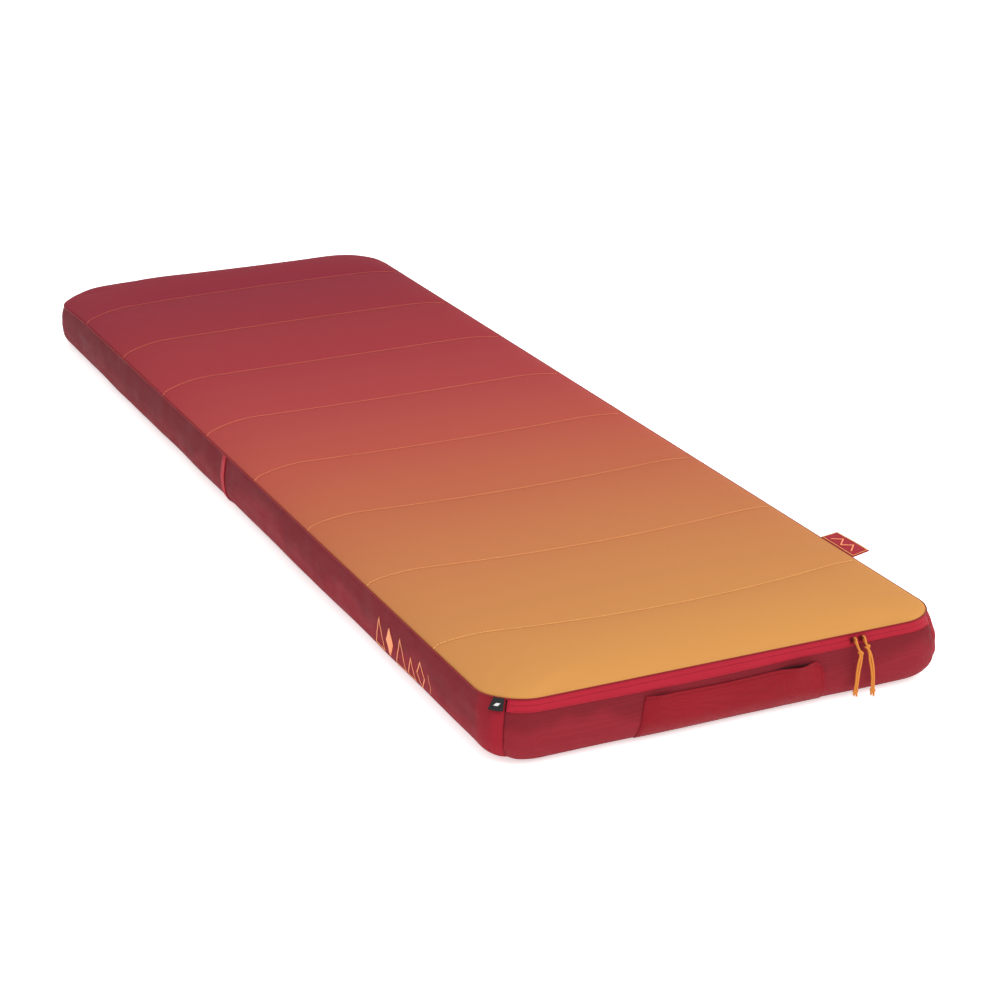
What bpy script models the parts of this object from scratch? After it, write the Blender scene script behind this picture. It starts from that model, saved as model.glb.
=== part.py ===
"""Inflatable sleeping pad: an air and foam mat with two valves, inside a zipped and quilted fabric cover.

Metres, +Z up. The pad lies on the plane Z = 0 with its middle at X = 0, Y = 0. The foot end, which
holds the zip and the pocket, faces -Y, and the head end faces +Y.
"""

import math

import bmesh
import bpy
from mathutils import Matrix, Vector

# Driving dimensions of the cover.
HALF_WIDTH = 0.325
HALF_LENGTH = 0.982  # the pocket stands 6 mm further out and makes the length 1.97 m
CORNER_RADIUS = 0.055
SEAM_HEIGHT = 0.0855
SEAM_INSET = 0.012  # how far the top seam lies inside the widest outline
CROWN_HEIGHT = 0.0145  # from the top seam to the flat of the top
SHOULDER = 0.060  # how far in from the top seam the top becomes flat
BASE_INSET = 0.024
BELLY_LOW = 0.028  # the walls are upright from here
BELLY_HIGH = 0.032  # and lean in above here
FABRIC = 0.0012
WADDING = 0.0025
GAP = 0.0003  # between any two pieces that touch

# The zip in the foot end.
BAND_LOW = 0.0665
ZIP_HEIGHT = 0.0785
SLOT = 0.0014
TAPE = 0.0008
COIL_DEPTH = 0.0014
COIL_WIDTH = 0.0018
COIL_HALF_RUN = 0.2620
STOP_LENGTH = 0.003
SLIDER_HALF_LENGTH = 0.0045
SLIDER_LEFT_X = 0.1755
SLIDER_RIGHT_X = 0.1885
CROWN_BAR = 0.0052  # from the tape's face out to the middle of the slider's bar
SLIDER_FACE_HALF = 0.0036  # half heights of the slider's outer and inner plates
SLIDER_BACK_HALF = 0.0032
SLIDER_WEB_HALF = 0.00035
SLIDER_FACE_THICKNESS = 0.0011
SLIDER_BACK_THICKNESS = 0.0009
SLIDER_PLAY = 0.00035  # between its plates and the tapes
BRIDGE_HALF_WIDTH = 0.0009
BRIDGE_HALF_THICKNESS = 0.0006

# The cord pulls.
CORD_DIAMETER = 0.003
KNOT_HALF_WIDTH = 0.0042
KNOT_HALF_DEPTH = 0.0021
KNOT_HALF_HEIGHT = 0.0035
KNOT_OUTLINE = ((0.45, 0.0), (0.9, 0.5), (1.0, 1.0), (0.9, 1.5), (0.45, 2.0))
KNOT_SIDES = 10
CORD_STEP = 0.0075

# The pocket on the foot end.
POCKET_LEFT = -0.126
POCKET_RIGHT = 0.127
POCKET_FACE = 0.988  # distance of its front from Y = 0
POCKET_TOP = 0.060
POCKET_BOTTOM = 0.0035
POCKET_RIM = 0.010  # over which its sides come in to the wall
POCKET_FRONT_LOW = 0.016  # its front is upright above here
POCKET_HEIGHTS = (POCKET_BOTTOM, 0.0075, 0.0115, POCKET_FRONT_LOW, 0.030, 0.045, POCKET_TOP)
HEM = 0.003
HEM_PROUD = 0.0004  # how far the hem stands out from the pocket's front

# Webbing and labels.
STRAP_Y = -0.004
STRAP_WIDTH = 0.015
SIDE_LABEL_FOOT_END = -0.757
SIDE_LABEL_HEAD_END = -0.677
SIDE_LABEL_REACH = 0.030
SIDE_LABEL_RISE = 0.006  # from its sewn edge to its free edge
CORNER_LABEL_WIDTH = 0.018
CORNER_LABEL_DROP = 0.010  # how far it hangs below the top seam

# The mat inside the cover.
MAT_HALF_WIDTH = 0.3205
MAT_FOOT = -0.963
MAT_HEAD = 0.9775
MAT_RADIUS = 0.050
MAT_LOW = 0.0019
MAT_SEAM_HEIGHT = 0.079
MAT_CROWN = 0.016
MAT_BASE_INSET = 0.022
MAT_BELLY_HIGH = 0.034
MAT_SHOULDER = 0.055
SKIN = 0.0008
BAND_BOTTOM = 0.0305
BAND_TOP = 0.0655

# The valves in the foot end of the mat.
VALVE_HEIGHT = 0.040
INFLATE_X = -0.200
DEFLATE_X = -0.140
VALVE_FACE = MAT_FOOT - GAP  # the plane that the flanges lie on

# Sizes of a valve in millimetres. Heights count outwards from the flange's inner face.
INFLATE_BORE = 5.5
DEFLATE_BORE = 7.0
NECK_WALL = 2.5
VALVE_MOUTH = 6.0
VALVE_SEAT = -6.8
VALVE_TAIL = -8.0
VALVE_LIP = 2.0
FLANGE_REACH = 6.0
FLANGE_THICKNESS = 1.4
PLUG_PLAY = 0.4
PLUG_DEPTH = 3.0
GROOVE_LOW = 0.8
GROOVE_HIGH = 2.6
GROOVE_DEPTH = 1.4
LID_REACH = 2.0
LID_PLAY = 0.3
LID_THICKNESS = 2.1
LID_BEVEL = 0.6
GRIP_HEIGHT = 3.8
GRIP_HALF_WIDTH = 1.4
SEAL_RADIUS = 0.6
SEAL_PLAY = 0.2
SEAL_SIDES = 8
FLAP_PLAY = 0.3
FLAP_THICKNESS = 0.8
FLAP_ROOM = 6.0

TURNED_SIDES = 24
ARC_STEP = math.radians(15)
CORNER_TIGHTENING = 0.6  # radius lost at a corner for each unit that an outline is drawn in
LONGEST_STEP = 0.33

MM = 0.001


def clear_scene():
    for obj in list(bpy.data.objects):
        bpy.data.objects.remove(obj, do_unlink=True)


def material(name, colour, roughness, metallic=0.0):
    """A Principled material with one colour."""
    found = bpy.data.materials.get(name)
    if found:
        return found
    made = bpy.data.materials.new(name)
    made.use_nodes = True
    shader = made.node_tree.nodes["Principled BSDF"]
    shader.inputs["Base Color"].default_value = (*colour, 1.0)
    shader.inputs["Roughness"].default_value = roughness
    shader.inputs["Metallic"].default_value = metallic
    return made


MATERIALS = {
    "knit": ((0.68, 0.30, 0.10), 0.85),
    "wadding": ((0.85, 0.84, 0.80), 0.95),
    "wall_fabric": ((0.27, 0.035, 0.045), 0.70),
    "base_fabric": ((0.16, 0.03, 0.035), 0.75),
    "zip_tape": ((0.50, 0.02, 0.045), 0.65),
    "zip_coil": ((0.30, 0.01, 0.02), 0.40),
    "slider_metal": ((0.28, 0.02, 0.03), 0.35, 0.8),
    "pocket_fabric": ((0.35, 0.02, 0.03), 0.70),
    "cord": ((0.80, 0.33, 0.08), 0.70),
    "strap": ((0.45, 0.03, 0.05), 0.60),
    "black_label": ((0.02, 0.02, 0.02), 0.60),
    "mat_film": ((0.30, 0.31, 0.33), 0.50),
    "foam": ((0.80, 0.76, 0.60), 0.95),
    "valve_plastic": ((0.05, 0.05, 0.055), 0.45),
    "seal_rubber": ((0.60, 0.10, 0.03), 0.60),
}


def add_object(name, mesh_maker, finish):
    """A new object named `name` whose mesh comes from the bmesh that `mesh_maker` fills."""
    mesh = bpy.data.meshes.new(name)
    shape = bmesh.new()
    mesh_maker(shape)
    bmesh.ops.recalc_face_normals(shape, faces=shape.faces)
    shape.to_mesh(mesh)
    shape.free()
    mesh.materials.append(material(finish, *MATERIALS[finish]))
    mesh.shade_smooth()
    mesh.set_sharp_from_angle(angle=math.radians(35))
    obj = bpy.data.objects.new(name, mesh)
    bpy.context.scene.collection.objects.link(obj)
    return obj


class Outline:
    """A rounded rectangle seen from above, walked anticlockwise from the middle of its foot side.

    Its corners, in that order, are foot right, head right, head left and foot left. A place on it is
    (run, share): even runs are the straight sides, from the foot side on, and odd runs the corners.
    """

    CORNERS = ((1, -1), (1, 1), (-1, 1), (-1, -1))

    def __init__(self, half_width, low_y, high_y, radius):
        self.half_width = half_width
        self.half_length = (high_y - low_y) / 2
        self.centre_y = (high_y + low_y) / 2
        self.radius = radius
        self.foot = half_width - radius
        self.side = high_y - low_y - 2 * radius
        self.arc = math.pi * radius / 2
        self.runs = [2 * self.foot, self.arc, self.side, self.arc] * 2
        self.length = sum(self.runs)
        self.corner = self.foot + self.arc / 2

    def place(self, distance):
        """The (run, share) at this distance along the outline from the middle of the foot side."""
        left = (distance + self.foot) % self.length
        for run, length in enumerate(self.runs):
            if left <= length:
                return run, left / length
            left -= length
        return len(self.runs) - 1, 1.0

    def corner_point(self, corner, share, inset):
        """A point on a corner of the outline drawn in by `inset`, which tightens the corner too."""
        radius = self.radius - CORNER_TIGHTENING * inset
        across, along = self.CORNERS[corner]
        x = across * (self.half_width - inset - radius)
        y = self.centre_y + along * (self.half_length - inset - radius)
        angle = math.pi / 2 * (corner - 1 + share)
        return Vector((x + radius * math.cos(angle), y + radius * math.sin(angle)))

    def point(self, place, inset):
        run, share = place
        if run % 2:
            return self.corner_point(run // 2, share, inset)
        start = self.corner_point(run // 2 - 1, 1.0, inset)
        return start.lerp(self.corner_point(run // 2, 0.0, inset), share)

    def left_side(self, y):
        """The distance, counted backwards from the foot, of the point at this Y on the left side."""
        return -(self.foot + self.arc + y - self.centre_y + self.half_length - self.radius)

    def marks(self):
        """Distances where the outline needs a point, over one lap."""
        found, start = [], -self.foot
        for run, length in enumerate(self.runs):
            pieces = round(math.pi / 2 / ARC_STEP) if run % 2 else math.ceil(length / LONGEST_STEP)
            found += [start + length * i / pieces for i in range(pieces)]
            start += length
        return found

    def stations(self, start, end):
        """The places between two distances, and the two ends."""
        laps = [mark + lap * self.length for lap in (-1, 0, 1) for mark in self.marks()]
        inner = [mark for mark in laps if start + GAP < mark < end - GAP]
        return [self.place(distance) for distance in [start, *inner, end]]

    def all_stations(self):
        return [self.place(distance) for distance in self.marks()]


COVER = Outline(HALF_WIDTH, -HALF_LENGTH, HALF_LENGTH, CORNER_RADIUS)
MAT = Outline(MAT_HALF_WIDTH, MAT_FOOT, MAT_HEAD, MAT_RADIUS)


class Profile:
    """How far in a closed skin lies at each height, from its flat base round to its flat top."""

    def __init__(self, base_inset, low, belly_low, belly_high, seam_inset, seam_height, shoulder, crown):
        self.base_inset, self.low = base_inset, low
        self.belly_low, self.belly_high = belly_low, belly_high
        self.seam_inset, self.seam_height = seam_inset, seam_height
        self.shoulder, self.crown = shoulder, crown

    def base_curve(self, angle):
        inset = self.base_inset * (1 - math.sin(angle))
        return Vector((inset, self.low + (self.belly_low - self.low) * (1 - math.cos(angle))))

    def wall(self, height):
        rise = max(0.0, height - self.belly_high) / (self.seam_height - self.belly_high)
        return Vector((self.seam_inset * rise * rise, height))

    def top_curve(self, angle):
        inset = self.seam_inset + self.shoulder * (1 - math.cos(angle))
        return Vector((inset, self.seam_height + self.crown * math.sin(angle)))

    def base_points(self, steps=4):
        return [self.base_curve(math.pi / 2 * i / steps) for i in range(steps + 1)]

    def wall_points(self, low, high, steps=3):
        return [self.wall(low + (high - low) * i / steps) for i in range(steps + 1)]

    def top_points(self, steps=5):
        return [self.top_curve(math.pi / 2 * i / steps) for i in range(steps + 1)]


COVER_PROFILE = Profile(
    BASE_INSET, 0.0, BELLY_LOW, BELLY_HIGH, SEAM_INSET, SEAM_HEIGHT, SHOULDER, CROWN_HEIGHT
)
MAT_PROFILE = Profile(
    MAT_BASE_INSET,
    MAT_LOW,
    BELLY_LOW,
    MAT_BELLY_HIGH,
    SEAM_INSET,
    MAT_SEAM_HEIGHT,
    MAT_SHOULDER,
    MAT_CROWN,
)


def offset(points, depth, trim_ends=True):
    """The points moved `depth` into the body, with both ends drawn back by half a gap.

    A point is (inset, height). An end that lies on the flat of the base or top stays where it is.
    """
    moved = []
    for i, point in enumerate(points):
        ahead = points[min(i + 1, len(points) - 1)]
        behind = points[max(i - 1, 0)]
        along = (ahead - behind).normalized()
        if abs(along.y) < 0.08:
            along = Vector((math.copysign(1, along.x), 0.0))
        place = point + depth * Vector((along.y, -along.x))
        if trim_ends and i == 0:
            place += GAP / 2 * along
        if trim_ends and i == len(points) - 1:
            place -= GAP / 2 * along
        moved.append(place)
    return moved


def grid(shape, outline, stations, points):
    """Rows of vertices, one for each station, from (inset, height) points."""
    rows = []
    for station in stations:
        flats = [outline.point(station, point.x) for point in points]
        rows.append([shape.verts.new((*flat, point.y)) for flat, point in zip(flats, points)])
    return rows


def skin_faces(shape, rows, closed):
    """Quads between neighbouring rows, and between the last and the first row if `closed`."""
    pairs = list(zip(rows, rows[1:]))
    if closed:
        pairs.append((rows[-1], rows[0]))
    for first, second in pairs:
        for i in range(len(first) - 1):
            shape.faces.new((first[i], second[i], second[i + 1], first[i + 1]))


def edge_strip(shape, outer, inner, closed):
    """Quads that join two matching lines of vertices."""
    pairs = list(zip(outer, outer[1:], inner, inner[1:]))
    if closed:
        pairs.append((outer[-1], outer[0], inner[-1], inner[0]))
    for a, b, c, d in pairs:
        shape.faces.new((a, b, d, c))


def strip_shell(name, finish, outline, start, end, points, near, far):
    """A curved sheet between two distances along an outline and between two depths."""

    def build(shape):
        stations = outline.stations(start + GAP / 2, end - GAP / 2)
        outer = grid(shape, outline, stations, offset(points, near))
        inner = grid(shape, outline, stations, offset(points, far))
        skin_faces(shape, outer, closed=False)
        skin_faces(shape, inner, closed=False)
        for i in (0, -1):
            edge_strip(shape, [row[i] for row in outer], [row[i] for row in inner], closed=False)
            edge_strip(shape, outer[i], inner[i], closed=False)

    return add_object(name, build, finish)


def ring_shell(name, finish, outline, points, near, far, lid=None, skip=0):
    """A sheet that runs all the way round an outline, open below and above.

    With `lid` at 0 or -1, that end of the points is closed by a flat sheet and makes a tray or a cap.
    The first `skip` points shape the sheet but aren't part of it.
    """

    def build(shape):
        stations = outline.all_stations()
        lines = [offset(points, depth)[skip:] for depth in (near, far)]
        layers = [grid(shape, outline, stations, line) for line in lines]
        for rows in layers:
            skin_faces(shape, rows, closed=True)
        for end in (0, -1):
            outer, inner = ([row[end] for row in rows] for rows in layers)
            if end == lid:
                shape.faces.new(outer)
                shape.faces.new(inner)
            else:
                edge_strip(shape, outer, inner, closed=True)

    return add_object(name, build, finish)


def turned_rows(shape, points):
    """Vertices of (radius, distance out) points in millimetres, turned about an axis along -Y."""
    rows = []
    for i in range(TURNED_SIDES):
        angle = 2 * math.pi * i / TURNED_SIDES
        across, up = math.cos(angle) * MM, math.sin(angle) * MM
        rows.append([shape.verts.new((r * across, -out * MM, r * up)) for r, out in points])
    return rows


def turned_ring(name, finish, points, centre):
    """A closed (radius, distance out) outline in millimetres, turned about the line through `centre`."""

    def build(shape):
        rows = turned_rows(shape, points)
        for first, second in zip(rows, rows[1:] + rows[:1]):
            for i in range(len(points)):
                j = (i + 1) % len(points)
                shape.faces.new((first[i], second[i], second[j], first[j]))

    obj = add_object(name, build, finish)
    obj.location = centre
    return obj


def turned_plug(name, finish, points, centre):
    """An open (radius, distance out) line in millimetres, turned, with a flat face at each end."""

    def build(shape):
        rows = turned_rows(shape, points)
        skin_faces(shape, rows, closed=True)
        shape.faces.new([row[0] for row in rows])
        shape.faces.new([row[-1] for row in rows])

    obj = add_object(name, build, finish)
    obj.location = centre
    return obj


def prism(name, finish, outline_points, start, end, place):
    """A flat outline pushed from `start` to `end`, where `place(u, v, t)` gives each point in space."""

    def build(shape):
        ends = [[shape.verts.new(place(u, v, t)) for u, v in outline_points] for t in (start, end)]
        edge_strip(shape, ends[0], ends[1], closed=True)
        for loop in ends:
            shape.faces.new(loop)

    return add_object(name, build, finish)


def put_origin(obj, place):
    """Moves the object's origin to `place` and leaves its shape where it is."""
    obj.data.transform(Matrix.Translation(-Vector(place)))
    obj.location = place


def join_by_union(obj, other):
    """Adds a second closed shape to the object, and turns that shape into a hidden helper."""
    other.hide_render = True
    other.display_type = "WIRE"
    union = obj.modifiers.new("Join", "BOOLEAN")
    union.operation = "UNION"
    union.solver = "EXACT"
    union.object = other


def cut_away(obj, cutter):
    cutter.hide_render = True
    cutter.display_type = "WIRE"
    cut = obj.modifiers.new("Cut", "BOOLEAN")
    cut.operation = "DIFFERENCE"
    cut.solver = "EXACT"
    cut.object = cutter


# The cover.


def wall_line():
    """The (inset, height) points of a wall from the base to the top seam."""
    return COVER_PROFILE.base_points() + COVER_PROFILE.wall_points(BELLY_HIGH, SEAM_HEIGHT, steps=4)


def cover_panels():
    """The top, its wadding, the base and the walls, with seams at the corners and behind the strap."""
    ring_shell("top_panel", "knit", COVER, COVER_PROFILE.top_points(), 0.0, FABRIC, lid=-1)
    near = FABRIC + GAP
    ring_shell(
        "quilt_wadding",
        "wadding",
        COVER,
        COVER_PROFILE.top_points(),
        near,
        near + WADDING,
        lid=-1,
        skip=1,
    )
    base_panel()

    split = COVER.left_side(STRAP_Y)
    head_left = -(COVER.length / 2 - COVER.corner)
    head_right = COVER.length / 2 - COVER.corner
    spans = {
        "side_wall_left_foot": (split, -COVER.corner),
        "side_wall_left_head": (head_left, split),
        "side_wall_right": (COVER.corner, head_right),
        "head_wall": (head_right, COVER.length + head_left),
    }
    for name, (start, end) in spans.items():
        strip_shell(name, "wall_fabric", COVER, start, end, wall_line(), 0.0, FABRIC)

    below_zip = COVER_PROFILE.base_points() + COVER_PROFILE.wall_points(BELLY_HIGH, BAND_LOW)
    strip_shell(
        "foot_wall", "wall_fabric", COVER, -COVER.corner, COVER.corner, below_zip, 0.0, FABRIC
    )


def base_panel():
    """A flat sheet that fills the inside of the walls' lower edge."""
    inset = BASE_INSET + GAP / 2
    loop = [tuple(COVER.point(station, inset)) for station in COVER.all_stations()]
    prism("base_panel", "base_fabric", loop, 0.0, FABRIC, lambda u, v, t: (u, v, t))


def pocket():
    """A flat patch pocket, sewn to the foot wall on three sides and open along its top."""

    def front(x, z, thickness):
        """The distance out of the pocket's sheet, which meets the wall at its sewn edges."""
        if z < BELLY_LOW:
            angle = math.acos(1 - z / BELLY_LOW)
            wall = HALF_LENGTH - COVER_PROFILE.base_curve(angle).x
        else:
            wall = HALF_LENGTH - COVER_PROFILE.wall(z).x
        sewn = wall + 2 * GAP
        free = POCKET_FACE - FABRIC
        side = min(x - POCKET_LEFT, POCKET_RIGHT - x) / POCKET_RIM
        foot = (z - POCKET_BOTTOM) / (POCKET_FRONT_LOW - POCKET_BOTTOM)
        share = math.sin(math.pi / 2 * max(0.0, min(1.0, side, foot)))
        return sewn + (free - sewn) * share + thickness

    columns = [POCKET_LEFT, POCKET_LEFT + POCKET_RIM / 2, POCKET_LEFT + POCKET_RIM]
    columns += [POCKET_LEFT + (POCKET_RIGHT - POCKET_LEFT) * i / 4 for i in (1, 2, 3)]
    columns += [POCKET_RIGHT - POCKET_RIM, POCKET_RIGHT - POCKET_RIM / 2, POCKET_RIGHT]

    def build(shape):
        layers = []
        for thickness in (FABRIC, 0.0):
            layers.append(
                [
                    [shape.verts.new((x, -front(x, z, thickness), z)) for z in POCKET_HEIGHTS]
                    for x in columns
                ]
            )
        outer, inner = layers
        for rows in layers:
            skin_faces(shape, rows, closed=False)
        for i in (0, -1):
            edge_strip(shape, [row[i] for row in outer], [row[i] for row in inner], closed=False)
            edge_strip(shape, outer[i], inner[i], closed=False)

    add_object("foot_pocket", build, "pocket_fabric")

    face, back = POCKET_FACE + HEM_PROUD, POCKET_FACE - FABRIC
    low = POCKET_TOP + GAP
    section = [(back, low), (face, low), (face, low + HEM), (back, low + HEM)]
    prism(
        "pocket_hem",
        "pocket_fabric",
        section,
        POCKET_LEFT + POCKET_RIM,
        POCKET_RIGHT - POCKET_RIM,
        lambda u, v, t: (t, -u, v),
    )


def webbing_and_labels():
    """The strap across the left wall, the folded label at the foot corner, and the side tab."""
    strap_line = wall_line()[2:]
    middle = COVER.left_side(STRAP_Y)
    strip_shell(
        "side_strap",
        "strap",
        COVER,
        middle - STRAP_WIDTH / 2,
        middle + STRAP_WIDTH / 2,
        strap_line,
        -GAP - FABRIC,
        -GAP,
    )

    over_seam = COVER_PROFILE.wall_points(SEAM_HEIGHT - CORNER_LABEL_DROP, SEAM_HEIGHT)
    over_seam += COVER_PROFILE.top_points(steps=9)[1:3]
    seam = -COVER.corner
    strip_shell(
        "corner_label",
        "black_label",
        COVER,
        seam - CORNER_LABEL_WIDTH,
        seam + MM,
        over_seam,
        -2 * GAP - FABRIC,
        -2 * GAP,
    )

    root = HALF_WIDTH - SEAM_INSET + 2 * GAP
    tip = root + SIDE_LABEL_REACH
    low = SEAM_HEIGHT - GAP
    section = [
        (root, low),
        (tip, low + SIDE_LABEL_RISE),
        (tip, low + SIDE_LABEL_RISE + FABRIC),
        (root, low + FABRIC / 2),
    ]
    prism(
        "side_label",
        "strap",
        section,
        SIDE_LABEL_FOOT_END,
        SIDE_LABEL_HEAD_END,
        lambda u, v, t: (u, t, v),
    )


# The zip.


def zip_point():
    """(Y, Z) on the tape's face at the middle of the slot, and the unit vectors up it and out of it."""
    face = COVER_PROFILE.wall(ZIP_HEIGHT)
    rise = COVER_PROFILE.wall(ZIP_HEIGHT + MM) - COVER_PROFILE.wall(ZIP_HEIGHT - MM)
    up = Vector((rise.x, rise.y)).normalized()
    return Vector((-HALF_LENGTH + face.x, face.y)), up, Vector((-up.y, up.x))


def zip_place(u, up_along, out):
    """The world position of a point given along the zip, up its face and out of it."""
    origin, up, outward = zip_point()
    flat = origin + up * up_along + outward * out
    return (u, flat.x, flat.y)


def zip_rail():
    """Two tapes with a coil behind the edge of each, and a stop at each end of the coils."""
    reach = COVER.corner - STOP_LENGTH
    half = SLOT / 2
    tapes = {
        "zip_tape_upper": COVER_PROFILE.wall_points(ZIP_HEIGHT + half, SEAM_HEIGHT, steps=2),
        "zip_tape_lower": COVER_PROFILE.wall_points(BAND_LOW, ZIP_HEIGHT - half, steps=3),
    }
    for name, points in tapes.items():
        strip_shell(name, "zip_tape", COVER, -reach, reach, points, 0.0, TAPE)

    near = TAPE + GAP
    for name, side in (("zip_coil_upper", 1), ("zip_coil_lower", -1)):
        section = [
            (side * half, -near),
            (side * (half + COIL_WIDTH), -near),
            (side * (half + COIL_WIDTH), -near - COIL_DEPTH),
            (side * half, -near - COIL_DEPTH),
        ]
        prism(
            name,
            "zip_coil",
            section,
            -COIL_HALF_RUN,
            COIL_HALF_RUN,
            lambda u, v, t: zip_place(t, u, v),
        )

    block = half + COIL_WIDTH
    section = [
        (-block, -near),
        (block, -near),
        (block, -near - COIL_DEPTH),
        (-block, -near - COIL_DEPTH),
    ]
    for name, side in (("zip_stop_left", -1), ("zip_stop_right", 1)):
        first = side * (COIL_HALF_RUN + GAP)
        last = side * (COIL_HALF_RUN + GAP + STOP_LENGTH)
        prism(name, "slider_metal", section, first, last, lambda u, v, t: zip_place(t, u, v))


def zip_slider(name, centre_x):
    """Two plates joined by a thin web through the slot, with a bar bridging the outer plate."""
    plate_low, plate_high = SLIDER_PLAY, SLIDER_PLAY + SLIDER_FACE_THICKNESS
    back_high = -(TAPE + GAP + COIL_DEPTH + SLIDER_PLAY)
    back_low = back_high - SLIDER_BACK_THICKNESS
    section = [
        (-SLIDER_FACE_HALF, plate_low),
        (-SLIDER_FACE_HALF, plate_high),
        (SLIDER_FACE_HALF, plate_high),
        (SLIDER_FACE_HALF, plate_low),
        (SLIDER_WEB_HALF, plate_low),
        (SLIDER_WEB_HALF, back_high),
        (SLIDER_BACK_HALF, back_high),
        (SLIDER_BACK_HALF, back_low),
        (-SLIDER_BACK_HALF, back_low),
        (-SLIDER_BACK_HALF, back_high),
        (-SLIDER_WEB_HALF, back_high),
        (-SLIDER_WEB_HALF, plate_low),
    ]
    body = prism(
        name,
        "slider_metal",
        section,
        centre_x - SLIDER_HALF_LENGTH,
        centre_x + SLIDER_HALF_LENGTH,
        lambda u, v, t: zip_place(t, u, v),
    )

    foot = SLIDER_HALF_LENGTH - BRIDGE_HALF_THICKNESS
    shoulder = foot - BRIDGE_HALF_THICKNESS
    sunk = (plate_low + plate_high) / 2 + GAP
    arch = [
        (-foot, sunk),
        (-shoulder, CROWN_BAR + BRIDGE_HALF_THICKNESS),
        (shoulder, CROWN_BAR + BRIDGE_HALF_THICKNESS),
        (foot, sunk),
        (foot - 2 * BRIDGE_HALF_THICKNESS, sunk),
        (shoulder - 2 * BRIDGE_HALF_THICKNESS, CROWN_BAR - BRIDGE_HALF_THICKNESS),
        (-shoulder + 2 * BRIDGE_HALF_THICKNESS, CROWN_BAR - BRIDGE_HALF_THICKNESS),
        (-foot + 2 * BRIDGE_HALF_THICKNESS, sunk),
    ]
    bridge = prism(
        name + "_bridge",
        "slider_metal",
        arch,
        -BRIDGE_HALF_WIDTH,
        BRIDGE_HALF_WIDTH,
        lambda u, v, t: zip_place(centre_x + u, t, v),
    )
    join_by_union(body, bridge)
    put_origin(body, zip_place(centre_x, 0.0, 0.0))


# The cord pulls. Each route starts under the slider's bar and hangs down in front of the wall.
# Its points are (X, distance out from Y = 0, Z).

LEFT_ROUTE = [
    (0.1755, 0.9793, 0.0782),
    (0.1762, 0.9842, 0.0725),
    (0.1772, 0.9903, 0.0645),
    (0.1772, 0.9912, 0.0560),
    (0.1765, 0.9914, 0.0430),
    (0.1748, 0.9912, 0.0280),
    (0.1722, 0.9910, 0.0130),
]
RIGHT_ROUTE = [
    (0.1885, 0.9793, 0.0782),
    (0.1892, 0.9842, 0.0725),
    (0.1903, 0.9903, 0.0645),
    (0.1925, 0.9912, 0.0560),
    (0.1960, 0.9914, 0.0430),
    (0.1990, 0.9912, 0.0280),
    (0.2012, 0.9910, 0.0130),
]


def smooth_line(points, step):
    """Points about `step` apart on a Catmull-Rom curve through the given points."""
    padded = [2 * points[0] - points[1], *points, 2 * points[-1] - points[-2]]
    line = []
    for before, first, second, after in zip(padded, padded[1:], padded[2:], padded[3:]):
        pieces = max(1, round((second - first).length / step))
        for i in range(pieces):
            t = i / pieces
            line.append(
                0.5
                * (
                    2 * first
                    + (second - before) * t
                    + (2 * before - 5 * first + 4 * second - after) * t * t
                    + (3 * first - before - 3 * second + after) * t * t * t
                )
            )
    return [*line, points[-1]]


def cord_pull(side, slider_x, route):
    """The hanging cord, and the knot that ends it. Both turn about the slider's bar."""
    pivot = zip_place(slider_x, 0.0, CROWN_BAR)
    points = [Vector((x, -out, z)) for x, out, z in route]
    line = smooth_line(points, CORD_STEP)
    curve = bpy.data.curves.new("pull_cord_" + side, "CURVE")
    curve.dimensions = "3D"
    curve.bevel_depth = CORD_DIAMETER / 2
    curve.bevel_resolution = 2
    curve.use_fill_caps = True
    spline = curve.splines.new("POLY")
    spline.points.add(len(line) - 1)
    for point, place in zip(spline.points, line):
        point.co = (*place, 1.0)
    spline.use_smooth = True
    curve.materials.append(material("cord", *MATERIALS["cord"]))
    cord = bpy.data.objects.new("pull_cord_" + side, curve)
    bpy.context.scene.collection.objects.link(cord)
    put_origin(cord, pivot)

    top = points[-1].z - GAP

    def build(shape):
        rows = []
        for i in range(KNOT_SIDES):
            angle = 2 * math.pi * i / KNOT_SIDES
            row = []
            for width, height in KNOT_OUTLINE:
                x = points[-1].x + KNOT_HALF_WIDTH * width * math.cos(angle)
                y = points[-1].y + KNOT_HALF_DEPTH * width * math.sin(angle)
                row.append(shape.verts.new((x, y, top - KNOT_HALF_HEIGHT * height)))
            rows.append(row)
        skin_faces(shape, rows, closed=True)
        shape.faces.new([row[0] for row in rows])
        shape.faces.new([row[-1] for row in rows])

    knot = add_object("pull_knot_" + side, build, "cord")
    put_origin(knot, pivot)


# The mat.


def mat():
    """The foam core and the airtight film round it: a top, a base and a band."""
    film = MAT_PROFILE
    upper = film.wall_points(BAND_TOP, MAT_SEAM_HEIGHT, steps=2) + film.top_points(steps=4)[1:]
    ring_shell("mat_film_top", "mat_film", MAT, upper, 0.0, SKIN, lid=-1)

    lower = [*film.base_points(), film.wall(BAND_BOTTOM)]
    ring_shell("mat_film_base", "mat_film", MAT, lower, 0.0, SKIN, lid=0)

    band = ring_shell(
        "mat_film_band",
        "mat_film",
        MAT,
        film.wall_points(BAND_BOTTOM, BAND_TOP, steps=4),
        0.0,
        SKIN,
    )

    def build(shape):
        points = film.base_points() + film.wall_points(MAT_BELLY_HIGH, MAT_SEAM_HEIGHT, steps=4)
        points += film.top_points(steps=4)[1:]
        line = offset(points, SKIN + GAP, trim_ends=False)
        rows = grid(shape, MAT, MAT.all_stations(), line)
        skin_faces(shape, rows, closed=True)
        for end in (0, -1):
            shape.faces.new([row[end] for row in rows])

    core = add_object("foam_core", build, "foam")
    return band, core


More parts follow.
